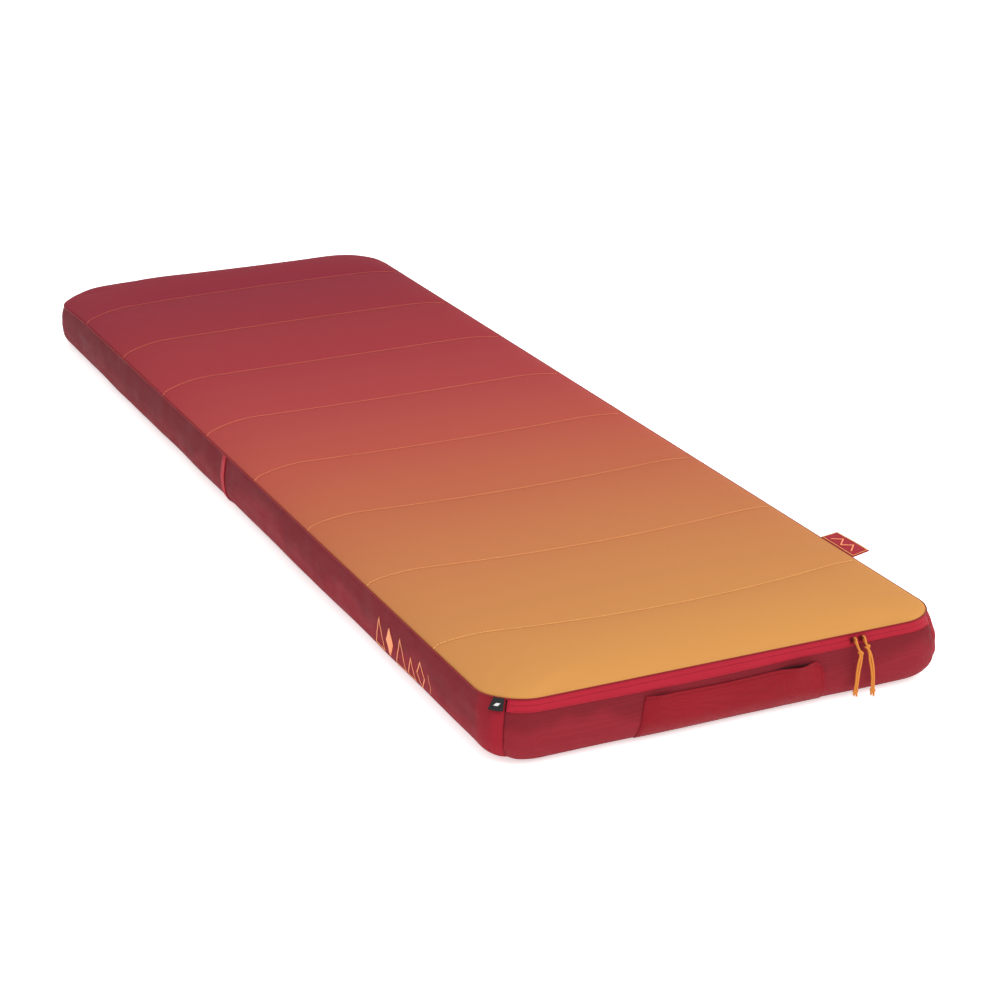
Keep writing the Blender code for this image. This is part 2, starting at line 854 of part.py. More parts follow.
def valve_body(kind, bore, neck, centre):
    """A neck with a flange outside the film and an inward lip at its tail."""
    lip = bore - VALVE_LIP
    line = [
        (bore, VALVE_MOUTH),
        (bore, VALVE_SEAT),
        (lip, VALVE_SEAT),
        (lip, VALVE_TAIL),
        (neck, VALVE_TAIL),
        (neck, 0.0),
        (neck + FLANGE_REACH, 0.0),
        (neck + FLANGE_REACH, FLANGE_THICKNESS),
        (neck, FLANGE_THICKNESS),
        (neck, VALVE_MOUTH),
    ]
    turned_ring(kind + "_valve_body", "valve_plastic", line, centre)


def valve_cap(kind, bore, neck, centre):
    """A cap with a plug in the bore, a groove for the seal, and a bar to turn it by."""
    plug = bore - PLUG_PLAY
    groove = plug - GROOVE_DEPTH
    lid = neck + LID_REACH
    under = VALVE_MOUTH + LID_PLAY
    line = [
        (plug - LID_BEVEL, -PLUG_DEPTH),
        (plug, LID_BEVEL - PLUG_DEPTH),
        (plug, GROOVE_LOW),
        (groove, GROOVE_LOW),
        (groove, GROOVE_HIGH),
        (plug, GROOVE_HIGH),
        (plug, under),
        (lid, under),
        (lid, under + LID_THICKNESS - LID_BEVEL),
        (lid - LID_BEVEL, under + LID_THICKNESS),
    ]
    cap = turned_plug(kind + "_valve_cap", "valve_plastic", line, centre)

    half_length = (lid - 2 * LID_BEVEL) * MM
    half_width = GRIP_HALF_WIDTH * MM
    outline = [
        (-half_length, -half_width),
        (half_length, -half_width),
        (half_length, half_width),
        (-half_length, half_width),
    ]
    grip = prism(
        kind + "_grip",
        "valve_plastic",
        outline,
        (under + LID_THICKNESS / 2) * MM,
        (under + LID_THICKNESS + GRIP_HEIGHT) * MM,
        lambda u, v, t: (u, -t, v),
    )
    grip.location = centre
    join_by_union(cap, grip)


def valve_seal(kind, bore, centre):
    """A ring of round section in the cap's groove."""
    middle = bore - SEAL_PLAY - SEAL_RADIUS
    height = (GROOVE_LOW + GROOVE_HIGH) / 2
    line = []
    for i in range(SEAL_SIDES):
        angle = 2 * math.pi * i / SEAL_SIDES
        line.append((middle + SEAL_RADIUS * math.cos(angle), height + SEAL_RADIUS * math.sin(angle)))
    turned_ring(kind + "_valve_seal", "seal_rubber", line, centre)


def valve(kind, x, bore, has_flap, band, core):
    """A flanged valve body through the film, with a quarter-turn cap and its seal ring."""
    centre = Vector((x, VALVE_FACE, VALVE_HEIGHT))
    neck = bore + NECK_WALL
    valve_body(kind, bore, neck, centre)
    valve_cap(kind, bore, neck, centre)
    valve_seal(kind, bore, centre)
    if has_flap:
        edge = bore - PLUG_PLAY
        line = [(edge, VALVE_TAIL - FLAP_PLAY), (edge, VALVE_TAIL - FLAP_PLAY - FLAP_THICKNESS)]
        turned_plug(kind + "_valve_flap", "seal_rubber", line, centre)

    clear = neck + PLUG_PLAY
    hole_line = [(clear, VALVE_MOUTH), (clear, VALVE_TAIL - FLAP_ROOM)]
    hole = turned_plug(kind + "_valve_hole", "valve_plastic", hole_line, centre)
    for piece in (band, core):
        cut_away(piece, hole)


def main():
    clear_scene()
    cover_panels()
    pocket()
    webbing_and_labels()
    zip_rail()
    for side, x, route in (
        ("left", SLIDER_LEFT_X, LEFT_ROUTE),
        ("right", SLIDER_RIGHT_X, RIGHT_ROUTE),
    ):
        zip_slider("zip_slider_" + side, x)
        cord_pull(side, x, route)
    band, core = mat()
    valve("inflate", INFLATE_X, INFLATE_BORE, True, band, core)
    valve("deflate", DEFLATE_X, DEFLATE_BORE, False, band, core)


main()
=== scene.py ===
"""The looks of an inflatable sleeping pad in its quilted cover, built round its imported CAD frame."""

import math

import bmesh
import bpy
import numpy as np
from mathutils import Euler, Matrix, Vector, noise


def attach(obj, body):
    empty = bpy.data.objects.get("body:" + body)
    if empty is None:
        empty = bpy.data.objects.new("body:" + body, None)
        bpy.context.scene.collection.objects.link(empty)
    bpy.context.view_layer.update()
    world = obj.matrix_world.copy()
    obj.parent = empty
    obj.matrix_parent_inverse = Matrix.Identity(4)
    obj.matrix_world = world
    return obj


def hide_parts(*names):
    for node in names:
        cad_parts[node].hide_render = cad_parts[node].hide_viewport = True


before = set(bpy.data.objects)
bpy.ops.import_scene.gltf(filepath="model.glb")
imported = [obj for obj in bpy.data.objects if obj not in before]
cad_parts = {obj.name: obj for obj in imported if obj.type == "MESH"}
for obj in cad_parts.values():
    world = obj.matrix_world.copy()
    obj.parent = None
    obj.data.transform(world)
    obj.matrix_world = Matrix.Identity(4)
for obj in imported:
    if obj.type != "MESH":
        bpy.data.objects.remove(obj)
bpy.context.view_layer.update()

MM = 0.001

# The cover. Insets count inwards from the top seam and heights up from the floor, in metres.
SEAM_HALF_WIDTH = 0.313
SEAM_FOOT = -0.970
SEAM_HEAD = 0.960
SEAM_HEIGHT = 0.0855
FOOT_RADIUS = 0.055
HEAD_RADIUS = 0.085
CORNER_TIGHTENING = 0.6
BASE_INSET = 0.020
BULGE = 0.012  # how far the walls stand outside the top seam
BELLY = 0.030
CROWN = 0.0125
SHOULDER = 0.060
WALL_BASE_SHARE = 0.35  # the part of the wall's profile that curls under the pad
CLOTH = 0.0012
SLUMP_OUT = 0.0040  # how far the left seam leans out over the wall, which is drawn in below
SLUMP_DOWN = 0.0035  # how far that seam sinks
CORNER_DOWN = 0.0080  # how much lower still the head's left corner lies

STITCH_FIRST = -0.780
STITCH_STEP = 0.2225
STITCH_COUNT = 8
FOOT_BOW = 0.036  # how far the middle of the first stitch line lies towards the foot
BOW_STEP = 0.007  # how much less each next line bows
SLANT = 0.0007  # grows with the square of the line's number: the head's lines run slightly askew
END_PULL = 0.020  # how far the lines' ends are drawn towards the foot
PUFF = 0.0034
TOP_COLUMNS = 64
BASE_SPINE = 0.66  # half the length of the line that the underside spreads out from
PANEL_GAP = 0.2 * MM
STRIP_WIDTH = 0.018  # of the bright strip at each foot corner
STRIP_FADE = 0.044  # where the last of its brightness ends

BAND_LOW = 0.0712
BAND_DIP = 0.0032
ZIP_HEIGHT = 0.0785
ZIP_SLOT = 0.00006
ZIP_UP = Vector((0.0, 0.3633, 0.9317))
ZIP_OUT = Vector((0.0, -0.9317, 0.3633))
ZIP_FACE = Vector((0.0, -0.97293, 0.0785))
CROWN_BAR = 0.0052  # how far the slider's bar stands out from the zip's face
SLIDER_LEFT_X = 0.1755
SLIDER_RIGHT_X = 0.1885

POCKET_LEFT = -0.121
POCKET_RIGHT = 0.127
POCKET_FOOT = 0.0035
POCKET_COLUMNS = 76
STRAP_Y = -0.004
STRAP_WIDTH = 0.014
TAB_FOOT_END = -0.757
TAB_LENGTH = 0.080
TAB_REACH = 27 * MM
TAB_PRINT_SCALE = 0.029  # the tab's reach in the print's own units
PRINT_DEPTH = 0.15 * MM

# The mat inside.
MAT_HALF_WIDTH = 0.3195
MAT_FOOT = -0.963
MAT_HEAD = 0.9665
MAT_FILM = 0.8 * MM
MAT_CROWN = 0.0135
MAT_SHOULDER = 0.055
VALVE_HEIGHT = 0.040
VALVE_HOLES = ((-0.200, 0.0084), (-0.140, 0.0099))  # X and radius

DYE = 0.72  # the set is brighter than full daylight on white, so the dyes are deeper than they look
WORLD_LIGHT = 1.0
KEY_LIGHT = 1.5
KEY_WIDTH = 50  # degrees across
KEY_FROM = Vector((0.35, -0.55, 1.0))
FLOOR_GLOW = 0.55
FLOOR_REACH = 30
CAMERA_PLACE = (-1.4087, -3.3026, 1.3376)
CAMERA_LENS = 87.451
CAMERA_DOWN = 21.06  # degrees below level
CAMERA_TURN = 25.17  # degrees from +Y towards +X


# Materials.


def srgb(red, green, blue):
    """Linear values of an 8-bit colour."""
    parts = []
    for value in (red, green, blue):
        value /= 255
        parts.append(value / 12.92 if value <= 0.04045 else ((value + 0.055) / 1.055) ** 2.4)
    return (*parts, 1.0)


class Nodes:
    """A new material and short ways to add nodes to it."""

    def __init__(self, name, roughness, sheen=0.0, metallic=0.0, coat=0.0, gloss=0.12, sheen_tint=None):
        self.material = bpy.data.materials.new(name)
        self.material.use_nodes = True
        self.tree = self.material.node_tree
        self.shader = self.tree.nodes["Principled BSDF"]
        self.shader.inputs["Roughness"].default_value = roughness
        self.shader.inputs["Metallic"].default_value = metallic
        self.shader.inputs["Sheen Weight"].default_value = sheen
        self.shader.inputs["Sheen Roughness"].default_value = 0.4
        self.shader.inputs["Sheen Tint"].default_value = sheen_tint or (1.0, 1.0, 1.0, 1.0)
        self.shader.inputs["Specular IOR Level"].default_value = gloss
        self.shader.inputs["Coat Weight"].default_value = coat
        self.place = self.add("ShaderNodeTexCoord").outputs["Object"]

    def feed(self, socket, value):
        """Sets a socket to a plain value, or links another node's output to it."""
        if isinstance(value, (int, float, tuple)):
            socket.default_value = value
        else:
            self.tree.links.new(value, socket)

    def add(self, kind, inputs=(), **settings):
        """A new node; `inputs` pairs its sockets with what feeds them."""
        node = self.tree.nodes.new(kind)
        for key, value in settings.items():
            setattr(node, key, value)
        for key, value in dict(inputs).items():
            self.feed(node.inputs[key], value)
        return node

    def math(self, operation, *values):
        return self.add("ShaderNodeMath", enumerate(values), operation=operation).outputs[0]

    def mapped(self, scale=(1.0, 1.0, 1.0), turn=0.0):
        """The object's coordinates, scaled along each axis and turned about Y."""
        inputs = {"Vector": self.place, "Scale": scale, "Rotation": (0.0, turn, 0.0)}
        return self.add("ShaderNodeMapping", inputs).outputs["Vector"]

    def noise(self, scale, detail=3.0, stretch=(1.0, 1.0, 1.0)):
        inputs = {"Vector": self.mapped(stretch), "Scale": scale, "Detail": detail}
        return self.add("ShaderNodeTexNoise", inputs).outputs["Fac"]

    def cells(self, scale, randomness=1.0):
        """How far the middle of the nearest cell is."""
        inputs = {"Vector": self.place, "Scale": scale, "Randomness": randomness}
        return self.add("ShaderNodeTexVoronoi", inputs).outputs["Distance"]

    def wave(self, period, axis, distortion=0.0, vector=None):
        """Ridges across one axis, 0 to 1, repeating every `period` metres."""
        inputs = {
            "Vector": self.place if vector is None else vector,
            "Scale": math.pi / (10 * period),
            "Distortion": distortion,
        }
        return self.add("ShaderNodeTexWave", inputs, wave_type="BANDS", bands_direction=axis).outputs["Fac"]

    def mix(self, share, first, second, blend="MIX"):
        inputs = {0: share, 6: first, 7: second}
        return self.add("ShaderNodeMix", inputs, data_type="RGBA", blend_type=blend).outputs[2]

    def toned(self, colour, grey):
        """A colour made lighter or darker by a grey value."""
        tone = self.add("ShaderNodeCombineColor", {0: grey, 1: grey, 2: grey}).outputs[0]
        return self.mix(1.0, colour, tone, "MULTIPLY")

    def ramp(self, value, stops):
        node = self.add("ShaderNodeValToRGB", {"Fac": value})
        elements = node.color_ramp.elements
        while len(elements) < len(stops):
            elements.new(0.5)
        for element, (place, colour) in zip(elements, stops):
            element.position = place
            element.color = colour
        return node.outputs["Color"]

    def span(self, value, low, high, new_low=0.0, new_high=1.0):
        """A value brought from one range to another."""
        inputs = {"Value": value, "From Min": low, "From Max": high, "To Min": new_low, "To Max": new_high}
        return self.add("ShaderNodeMapRange", inputs).outputs["Result"]

    def axis(self, name):
        return self.add("ShaderNodeSeparateXYZ", {0: self.place}).outputs[name]

    def attribute(self, name):
        return self.add("ShaderNodeAttribute", attribute_name=name).outputs["Fac"]

    def colour(self, source):
        self.feed(self.shader.inputs["Base Color"], source)

    def roughness(self, source):
        self.feed(self.shader.inputs["Roughness"], source)

    def bump(self, height, distance, strength=1.0):
        """Adds a bump on top of any that is there."""
        node = self.add("ShaderNodeBump", {"Height": height, "Distance": distance, "Strength": strength})
        socket = self.shader.inputs["Normal"]
        if socket.is_linked:
            self.feed(node.inputs["Normal"], socket.links[0].from_socket)
        self.feed(socket, node.outputs["Normal"])


def shade(colour, factor):
    return (*[min(1.0, part * factor) for part in colour[:3]], 1.0)


def weave(nodes, period, depth):
    """A plain weave on faces of any direction, from ridges along the three axes."""
    ridges = [nodes.wave(period, axis) for axis in "XYZ"]
    height = nodes.math("ADD", nodes.math("ADD", ridges[0], ridges[1]), ridges[2])
    nodes.bump(height, depth)
    return height


def wall_base(nodes, base, colour, strip):
    """A wall's colour: lighter low down, which is painted light, as if lit from the floor; darker towards the
    head; and `strip` next to the foot corners.
    """
    uneven = nodes.span(nodes.noise(9.0, 3.0), 0.3, 0.7, -0.018, 0.018)
    rise = nodes.math("ADD", nodes.axis("Z"), uneven)
    # painted light: the lower wall is made lighter, as if lit from the floor below
    lighter = (colour[0] * 1.35, colour[1] * 1.3, colour[2] * 1.3, 1.0)
    base = nodes.mix(nodes.span(rise, 0.035, 0.055), lighter, base)
    headwards = nodes.span(nodes.axis("Y"), -0.9, 0.6, 0.0, 0.44)
    base = nodes.mix(headwards, base, shade(colour, 0.35))
    return nodes.mix(nodes.attribute("tint"), base, strip)


def cloth_material(name, colour, roughness, period, depth, sheen=0.08, variation=0.16, strip=None, gloss=0.1):
    """Woven cloth with a weave, patchy colour, faint long creases and worn lighter threads."""
    nodes = Nodes(name, roughness, sheen, gloss=gloss, sheen_tint=shade(colour, 2.0))
    height = weave(nodes, period, depth)
    base = nodes.mix(nodes.noise(7.0, 4.0), shade(colour, 1 - variation), shade(colour, 1 + variation))
    if strip is not None:
        base = wall_base(nodes, base, colour, strip)
    nodes.colour(nodes.toned(base, nodes.span(height, 0.4, 2.4, 0.90, 1.06)))
    nodes.roughness(nodes.span(nodes.noise(30.0), 0.3, 0.7, roughness - 0.07, roughness + 0.07))
    nodes.bump(nodes.noise(22.0, 2.0, (1.0, 1.0, 1.8)), 0.0016, 0.4)
    return nodes.material


KNIT_DYES = (  # how far from the head seam towards the foot seam, and the colour there
    (0.00, (143, 48, 64)),
    (0.12, (148, 50, 64)),
    (0.23, (160, 55, 64)),
    (0.35, (171, 62, 69)),
    (0.47, (184, 76, 74)),
    (0.59, (195, 95, 77)),
    (0.69, (201, 114, 80)),
    (0.79, (209, 132, 84)),
    (0.88, (214, 144, 86)),
    (1.00, (226, 160, 88)),
)


def knit_material():
    """The brushed top knit, dyed from burgundy at the head through orange to amber at the foot."""
    nodes = Nodes("quilted_knit", 0.9, 0.08, gloss=0.05, sheen_tint=srgb(230, 130, 90))
    drift = nodes.span(nodes.noise(3.0, 2.0), 0.0, 1.0, -0.012, 0.012)
    along = nodes.math("ADD", nodes.span(nodes.axis("Y"), SEAM_HEAD, SEAM_FOOT), drift)
    dye = nodes.ramp(along, [(place, shade(srgb(*colour), DYE)) for place, colour in KNIT_DYES])
    loops = nodes.math("MULTIPLY", nodes.wave(1.5 * MM, "X", 0.4), nodes.wave(1.1 * MM, "Y", 0.6))
    fibres = nodes.noise(900.0, 2.0)
    tone = nodes.math("ADD", nodes.span(loops, 0.0, 1.0, 0.93, 1.03), nodes.span(fibres, 0, 1, -0.05, 0.05))
    nodes.colour(nodes.toned(dye, tone))
    nodes.bump(loops, 0.00025, 0.7)
    nodes.bump(fibres, 0.00012, 0.6)
    return nodes.material


def ribbed_material(name, colour, period, axis, depth, roughness=0.6, sheen=0.06):
    """Webbing or tape with ribs across one axis."""
    nodes = Nodes(name, roughness, sheen, sheen_tint=shade(colour, 2.0))
    ribs = nodes.wave(period, axis, 0.3)
    patches = nodes.noise(18.0, 3.0)
    base = nodes.mix(patches, shade(colour, 0.88), shade(colour, 1.12))
    nodes.colour(nodes.mix(nodes.span(ribs, 0, 1, 0.22, 0.0), base, shade(colour, 0.5)))
    nodes.bump(ribs, depth)
    nodes.bump(nodes.noise(60.0), 0.0004, 0.5)
    return nodes.material


def braid_material(name, colour, stripe, period):
    """Braided cord: crossing strands, with a darker thread between them."""
    nodes = Nodes(name, 0.62, 0.1, sheen_tint=colour)
    strands = [nodes.wave(period, "Z", vector=nodes.mapped(turn=turn)) for turn in (0.7, -0.7)]
    crossing = nodes.math("MAXIMUM", *strands)
    nodes.colour(nodes.mix(nodes.span(crossing, 0.55, 1.0), stripe, colour))
    nodes.bump(crossing, 0.0003)
    return nodes.material


def moulded_material(name, colour, roughness, metallic=0.0, coat=0.0, grain=500.0):
    """Moulded or painted hard material with fine grain, scuffs and rubbed patches."""
    nodes = Nodes(name, roughness, 0.0, metallic, coat, gloss=0.35)
    scuffs = nodes.noise(140.0, 6.0)
    nodes.colour(nodes.mix(scuffs, shade(colour, 0.8), shade(colour, 1.25)))
    nodes.roughness(nodes.span(scuffs, 0.3, 0.7, roughness - 0.08, roughness + 0.12))
    nodes.bump(nodes.noise(grain, 2.0), 0.00008, 0.6)
    return nodes.material


def quilt_thread_material():
    """The quilting yarn, which takes the colour of the knit round it: redder towards the head."""
    nodes = Nodes("quilting_yarn", 0.6)
    along = nodes.span(nodes.axis("Y"), SEAM_HEAD, SEAM_FOOT)
    stops = [(0.0, srgb(196, 92, 80)), (0.5, srgb(226, 130, 98)), (1.0, srgb(252, 194, 116))]
    yarn = nodes.ramp(along, stops)
    nodes.colour(nodes.mix(nodes.span(nodes.noise(60.0), 0.3, 0.7, 0.0, 0.2), yarn, srgb(150, 80, 60)))
    nodes.bump(nodes.wave(0.8 * MM, "X"), 0.0001)
    return nodes.material


def foam_material():
    """Open-cell foam: pale, with small round cells."""
    nodes = Nodes("open_cell_foam", 0.95)
    cells = nodes.cells(620.0)
    pale, deep = (0.80, 0.74, 0.56, 1.0), (0.55, 0.47, 0.30, 1.0)
    nodes.colour(nodes.mix(nodes.span(cells, 0.0, 0.5), deep, pale))
    nodes.bump(cells, 0.0008)
    return nodes.material


def base_material():
    """The underside: dark cloth with rows of small grip dots."""
    nodes = Nodes("base_cloth", 0.72, 0.1)
    weave(nodes, 0.9 * MM, 0.00018)
    dot = nodes.span(nodes.cells(90.0, randomness=0.0), 0.30, 0.22)
    cloth = nodes.mix(nodes.noise(6.0), (0.11, 0.020, 0.026, 1.0), (0.17, 0.030, 0.038, 1.0))
    nodes.colour(nodes.mix(dot, cloth, (0.05, 0.012, 0.016, 1.0)))
    nodes.bump(dot, 0.0004)
    return nodes.material


def thread_material(name, colour):
    nodes = Nodes(name, 0.55, 0.1, sheen_tint=colour)
    twist = nodes.wave(0.7 * MM, "DIAGONAL")
    nodes.colour(nodes.mix(twist, shade(colour, 0.75), colour))
    nodes.bump(twist, 0.0001)
    return nodes.material


CRIMSON = srgb(163, 28, 46)
BURGUNDY = srgb(118, 32, 40)
STRIP_RED = srgb(148, 33, 45)
LOOKS = {
    "knit": knit_material(),
    "wall": cloth_material(
        "wall_cloth", BURGUNDY, 0.62, 0.9 * MM, 0.00016, 0.04, variation=0.14, strip=STRIP_RED, gloss=0.05
    ),
    "pocket": cloth_material("pocket_cloth", srgb(133, 19, 31), 0.52, 0.9 * MM, 0.00016, 0.06),
    # painted shadow: a dark cloth for the sheet behind the pocket's mouth
    "pocket_shadow": cloth_material("pocket_shadow_paint", srgb(62, 22, 28), 0.8, 0.9 * MM, 0.0001, 0.02),
    "tape": ribbed_material("zip_tape_cloth", CRIMSON, 1.2 * MM, "X", 0.0002),
    "piping": cloth_material("piping_cloth", srgb(128, 26, 36), 0.55, 0.8 * MM, 0.0001),
    "strap": ribbed_material("strap_webbing", srgb(165, 38, 50), 1.6 * MM, "Z", 0.0003),
    "label_red": ribbed_material("label_cloth", srgb(160, 38, 50), 0.8 * MM, "Y", 0.0001),
    "label_black": ribbed_material("black_label_cloth", (0.018, 0.018, 0.019, 1.0), 0.7 * MM, "X", 0.0001),
    "label_white": thread_material("white_yarn", (0.75, 0.75, 0.74, 1.0)),
    "print": moulded_material("orange_print", srgb(236, 140, 92), 0.6),
    "quilt_thread": quilt_thread_material(),
    "thread": thread_material("orange_thread", srgb(250, 184, 104)),
    "thread_red": thread_material("red_thread", srgb(170, 40, 56)),
    "cord": braid_material("pull_cord_braid", srgb(222, 146, 66), srgb(176, 94, 36), 1.7 * MM),
    "base": base_material(),
    "film": cloth_material("mat_cloth", (0.24, 0.25, 0.27, 1.0), 0.5, 0.8 * MM, 0.0001),
    "foam": foam_material(),
    "valve": moulded_material("valve_nylon", (0.045, 0.045, 0.05, 1.0), 0.42),
    "seal": moulded_material("valve_silicone", (0.55, 0.09, 0.03, 1.0), 0.5),
    "coil": moulded_material("zip_coil_nylon", srgb(170, 32, 52), 0.4),
    "slider": moulded_material("slider_paint", srgb(110, 22, 34), 0.35, 0.5, 0.3),
}


# Shapes.


class Outline:
    """A rounded rectangle seen from above, walked anticlockwise from the middle of its foot side.

    Its corners, in that order, are foot right, head right, head left and foot left.
    """

    CORNERS = ((1, -1), (1, 1), (-1, 1), (-1, -1))

    def __init__(self, half_width, foot, head, foot_radius, head_radius):
        self.half_width, self.foot, self.head = half_width, foot, head
        self.radii = (foot_radius, head_radius, head_radius, foot_radius)
        foot_run = 2 * (half_width - foot_radius)
        head_run = 2 * (half_width - head_radius)
        side_run = head - foot - foot_radius - head_radius
        arcs = [math.pi * radius / 2 for radius in self.radii]
        self.runs = [foot_run, arcs[0], side_run, arcs[1], head_run, arcs[2], side_run, arcs[3]]
        self.length = sum(self.runs)
        self.foot_corner = foot_run / 2 + arcs[0] / 2
        self.head_corner = foot_run / 2 + arcs[0] + side_run + arcs[1] / 2

    def place(self, distance):
        left = (distance + self.runs[0] / 2) % self.length
        for run, length in enumerate(self.runs):
            if left <= length:
                return run, left / length
            left -= length
        return len(self.runs) - 1, 1.0

    def corner_point(self, corner, share, inset):
        radius = self.radii[corner] - CORNER_TIGHTENING * inset
        across, along = self.CORNERS[corner]
        x = across * (self.half_width - inset - radius)
        y = self.foot + inset + radius if along < 0 else self.head - inset - radius
        angle = math.pi / 2 * (corner - 1 + share)
        return Vector((x + radius * math.cos(angle), y + radius * math.sin(angle)))

    def point(self, distance, inset):
        run, share = self.place(distance)
        if run % 2:
            return self.corner_point(run // 2, share, inset)
        start = self.corner_point(run // 2 - 1, 1.0, inset)
        return start.lerp(self.corner_point(run // 2, 0.0, inset), share)

    def left_side(self, y):
        """The distance, counted backwards from the foot, of the point at this Y on the left side."""
        return -(self.runs[0] / 2 + self.runs[1] + y - self.foot - self.radii[0])


    def half_width_at(self, y):
        """Half the outline's width at this Y."""
        if y < self.foot + self.radii[0]:
            radius, drop = self.radii[0], self.foot + self.radii[0] - y
        elif y > self.head - self.radii[1]:
            radius, drop = self.radii[1], y - self.head + self.radii[1]
        else:
            return self.half_width
        return self.half_width - radius + math.sqrt(max(0.0, radius**2 - drop**2))

    def depth_inside(self, x, y):
        """How far inside the outline a point lies."""
        radius = self.radii[0] if y < 0 else self.radii[1]
        end = -self.foot if y < 0 else self.head
        across = abs(x) - self.half_width + radius
        along = abs(y) - end + radius
        beyond = math.hypot(max(across, 0.0), max(along, 0.0))
        return radius - beyond - min(max(across, along), 0.0)


SEAM = Outline(SEAM_HALF_WIDTH, SEAM_FOOT, SEAM_HEAD, FOOT_RADIUS, HEAD_RADIUS)
CORNER_SEAMS = (
    SEAM.foot_corner,
    SEAM.head_corner,
    SEAM.length - SEAM.head_corner,
    SEAM.length - SEAM.foot_corner,
)


def clamp(value, low=0.0, high=1.0):
    return min(high, max(low, value))


def smooth_step(value, low, high):
    share = clamp((value - low) / (high - low))
    return share * share * (3 - 2 * share)


def bell(value, middle, width):
    """1 at the middle, falling away smoothly on both sides."""
    return math.exp(-(((value - middle) / width) ** 2))


def settled(point):
    """Where a point of the level pad lies once the left edge has slumped, most of all at the head corner."""
    edge = smooth_step(-point.x, 0.240, 0.310) * smooth_step(point.y, -0.965, -0.900)
    corner = smooth_step(-point.x, 0.100, 0.310) * smooth_step(point.y, 0.720, 0.950)
    out = SLUMP_OUT * edge * clamp((point.z - 0.055) / 0.030, -0.8)
    down = (SLUMP_DOWN * edge + CORNER_DOWN * corner) * clamp(point.z / SEAM_HEIGHT) ** 2
    return Vector((point.x - out, point.y, point.z - down))


def add_piece(name, mesh, look, slot, body="pad", nodes=(), settle=True):
    """A new object that rides on a body, with its material and the CAD nodes it stands for; its `slot` is not
    used.
    """
    if settle and body == "pad":
        for vertex in mesh.vertices:
            vertex.co = settled(vertex.co)
    obj = bpy.data.objects.new(name, mesh)
    bpy.context.scene.collection.objects.link(obj)
    mesh.materials.append(LOOKS[look])
    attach(obj, body)
    if nodes:
        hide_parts(*nodes)
    return obj


def mesh_from(name, points, faces, sharp=None):
    mesh = bpy.data.meshes.new(name)
    mesh.from_pydata(points, [], faces)
    mesh.validate()
    mesh.shade_smooth()
    if sharp is not None:
        mesh.set_sharp_from_angle(angle=math.radians(sharp))
    return mesh


def grid_mesh(name, rows, closed=False):
    """A sheet of quads over rows of points."""
    count = len(rows[0])
    points = [point for row in rows for point in row]
    faces = []
    pairs = [(i, i + 1) for i in range(len(rows) - 1)]
    if closed:
        pairs.append((len(rows) - 1, 0))
    for first, second in pairs:
        for i in range(count - 1):
            a, b = first * count + i, second * count + i
            faces.append((a, b, b + 1, a + 1))
    return mesh_from(name, points, faces)


def sheet_rows(place, columns, levels):
    """Rows of the points place(u, v), where both shares run from 0 to 1."""
    return [[place(i / columns, k / levels) for k in range(levels + 1)] for i in range(columns + 1)]


def sheet(name, place, columns, levels):
    return grid_mesh(name, sheet_rows(place, columns, levels))


def thicken(obj, thickness, offset=-1.0, rim=True):
    shell = obj.modifiers.new("Thickness", "SOLIDIFY")
    shell.thickness = thickness
    shell.offset = offset
    shell.use_rim = rim
    shell.use_even_offset = False
    return obj


def subdivide(obj, levels=1):
    finer = obj.modifiers.new("Finer", "SUBSURF")
    finer.levels = levels
    finer.render_levels = levels
    return obj


def ripple(*place):
    return noise.noise(Vector(place))


# The cover's walls.


def corner_distance(distance):
    """How far along the outline the nearest corner seam is."""
    half = SEAM.length / 2
    return min(abs((distance - seam + half) % SEAM.length - half) for seam in CORNER_SEAMS)


def wall_profile(share):
    """(inset, height) of the plain wall, from its lower edge at 0 to the top seam at 1."""
    if share < WALL_BASE_SHARE:
        angle = math.pi / 2 * share / WALL_BASE_SHARE
        inset = BASE_INSET - (BASE_INSET + BULGE) * math.sin(angle)
        return inset, BELLY * (1 - math.cos(angle))
    rise = (share - WALL_BASE_SHARE) / (1 - WALL_BASE_SHARE)
    return BULGE * (rise**2 - 1), BELLY + (SEAM_HEIGHT - BELLY) * rise


def share_of_height(height):
    """Where on the wall's profile this height is."""
    if height < BELLY:
        return WALL_BASE_SHARE * math.acos(1 - height / BELLY) / (math.pi / 2)
    return WALL_BASE_SHARE + (1 - WALL_BASE_SHARE) * (height - BELLY) / (SEAM_HEIGHT - BELLY)


def wall_relief(distance, share):
    """How far the cloth stands out from the plain wall: soft folds, slack, and puckers at the seams."""
    middle = math.sin(math.pi * clamp(share))
    height = wall_profile(share)[1]
    slack = 2.6 * MM * ripple(distance * 4.5, height * 9.0, 1.7)
    folds = 1.3 * MM * ripple(distance * 9.0, height * 55.0, 5.2)
    fine = 0.22 * MM * ripple(distance * 30.0, height * 90.0, 9.1)
    near = corner_distance(distance)
    pinch = -2.0 * MM * bell(near, 0.0, 0.006)
    gathers = math.sin(height * 2 * math.pi / 0.021 + 4 * ripple(distance * 30, 3, 1))
    pucker = 0.8 * MM * math.exp(-near / 0.022) * gathers
    return middle * (slack + folds + fine + pucker) + pinch * min(1.0, 3 * middle)


def wall_point(distance, share, lift=0.0):
    """A point on the outside of the wall, with its folds, moved out by `lift`."""
    inset, height = wall_profile(share)
    ahead = wall_profile(min(1.0, share + 0.01))
    behind = wall_profile(max(0.0, share - 0.01))
    slope = Vector((ahead[0] - behind[0], ahead[1] - behind[1])).normalized()
    out = lift + wall_relief(distance, share)
    rise = out * abs(slope.x) * (-1 if height < BELLY else 1)
    return Vector((*SEAM.point(distance, inset - out * slope.y), max(0.0, height + rise)))


def stations(start, end, step):
    count = max(2, math.ceil((end - start) / step))
    return [start + (end - start) * i / count for i in range(count + 1)]


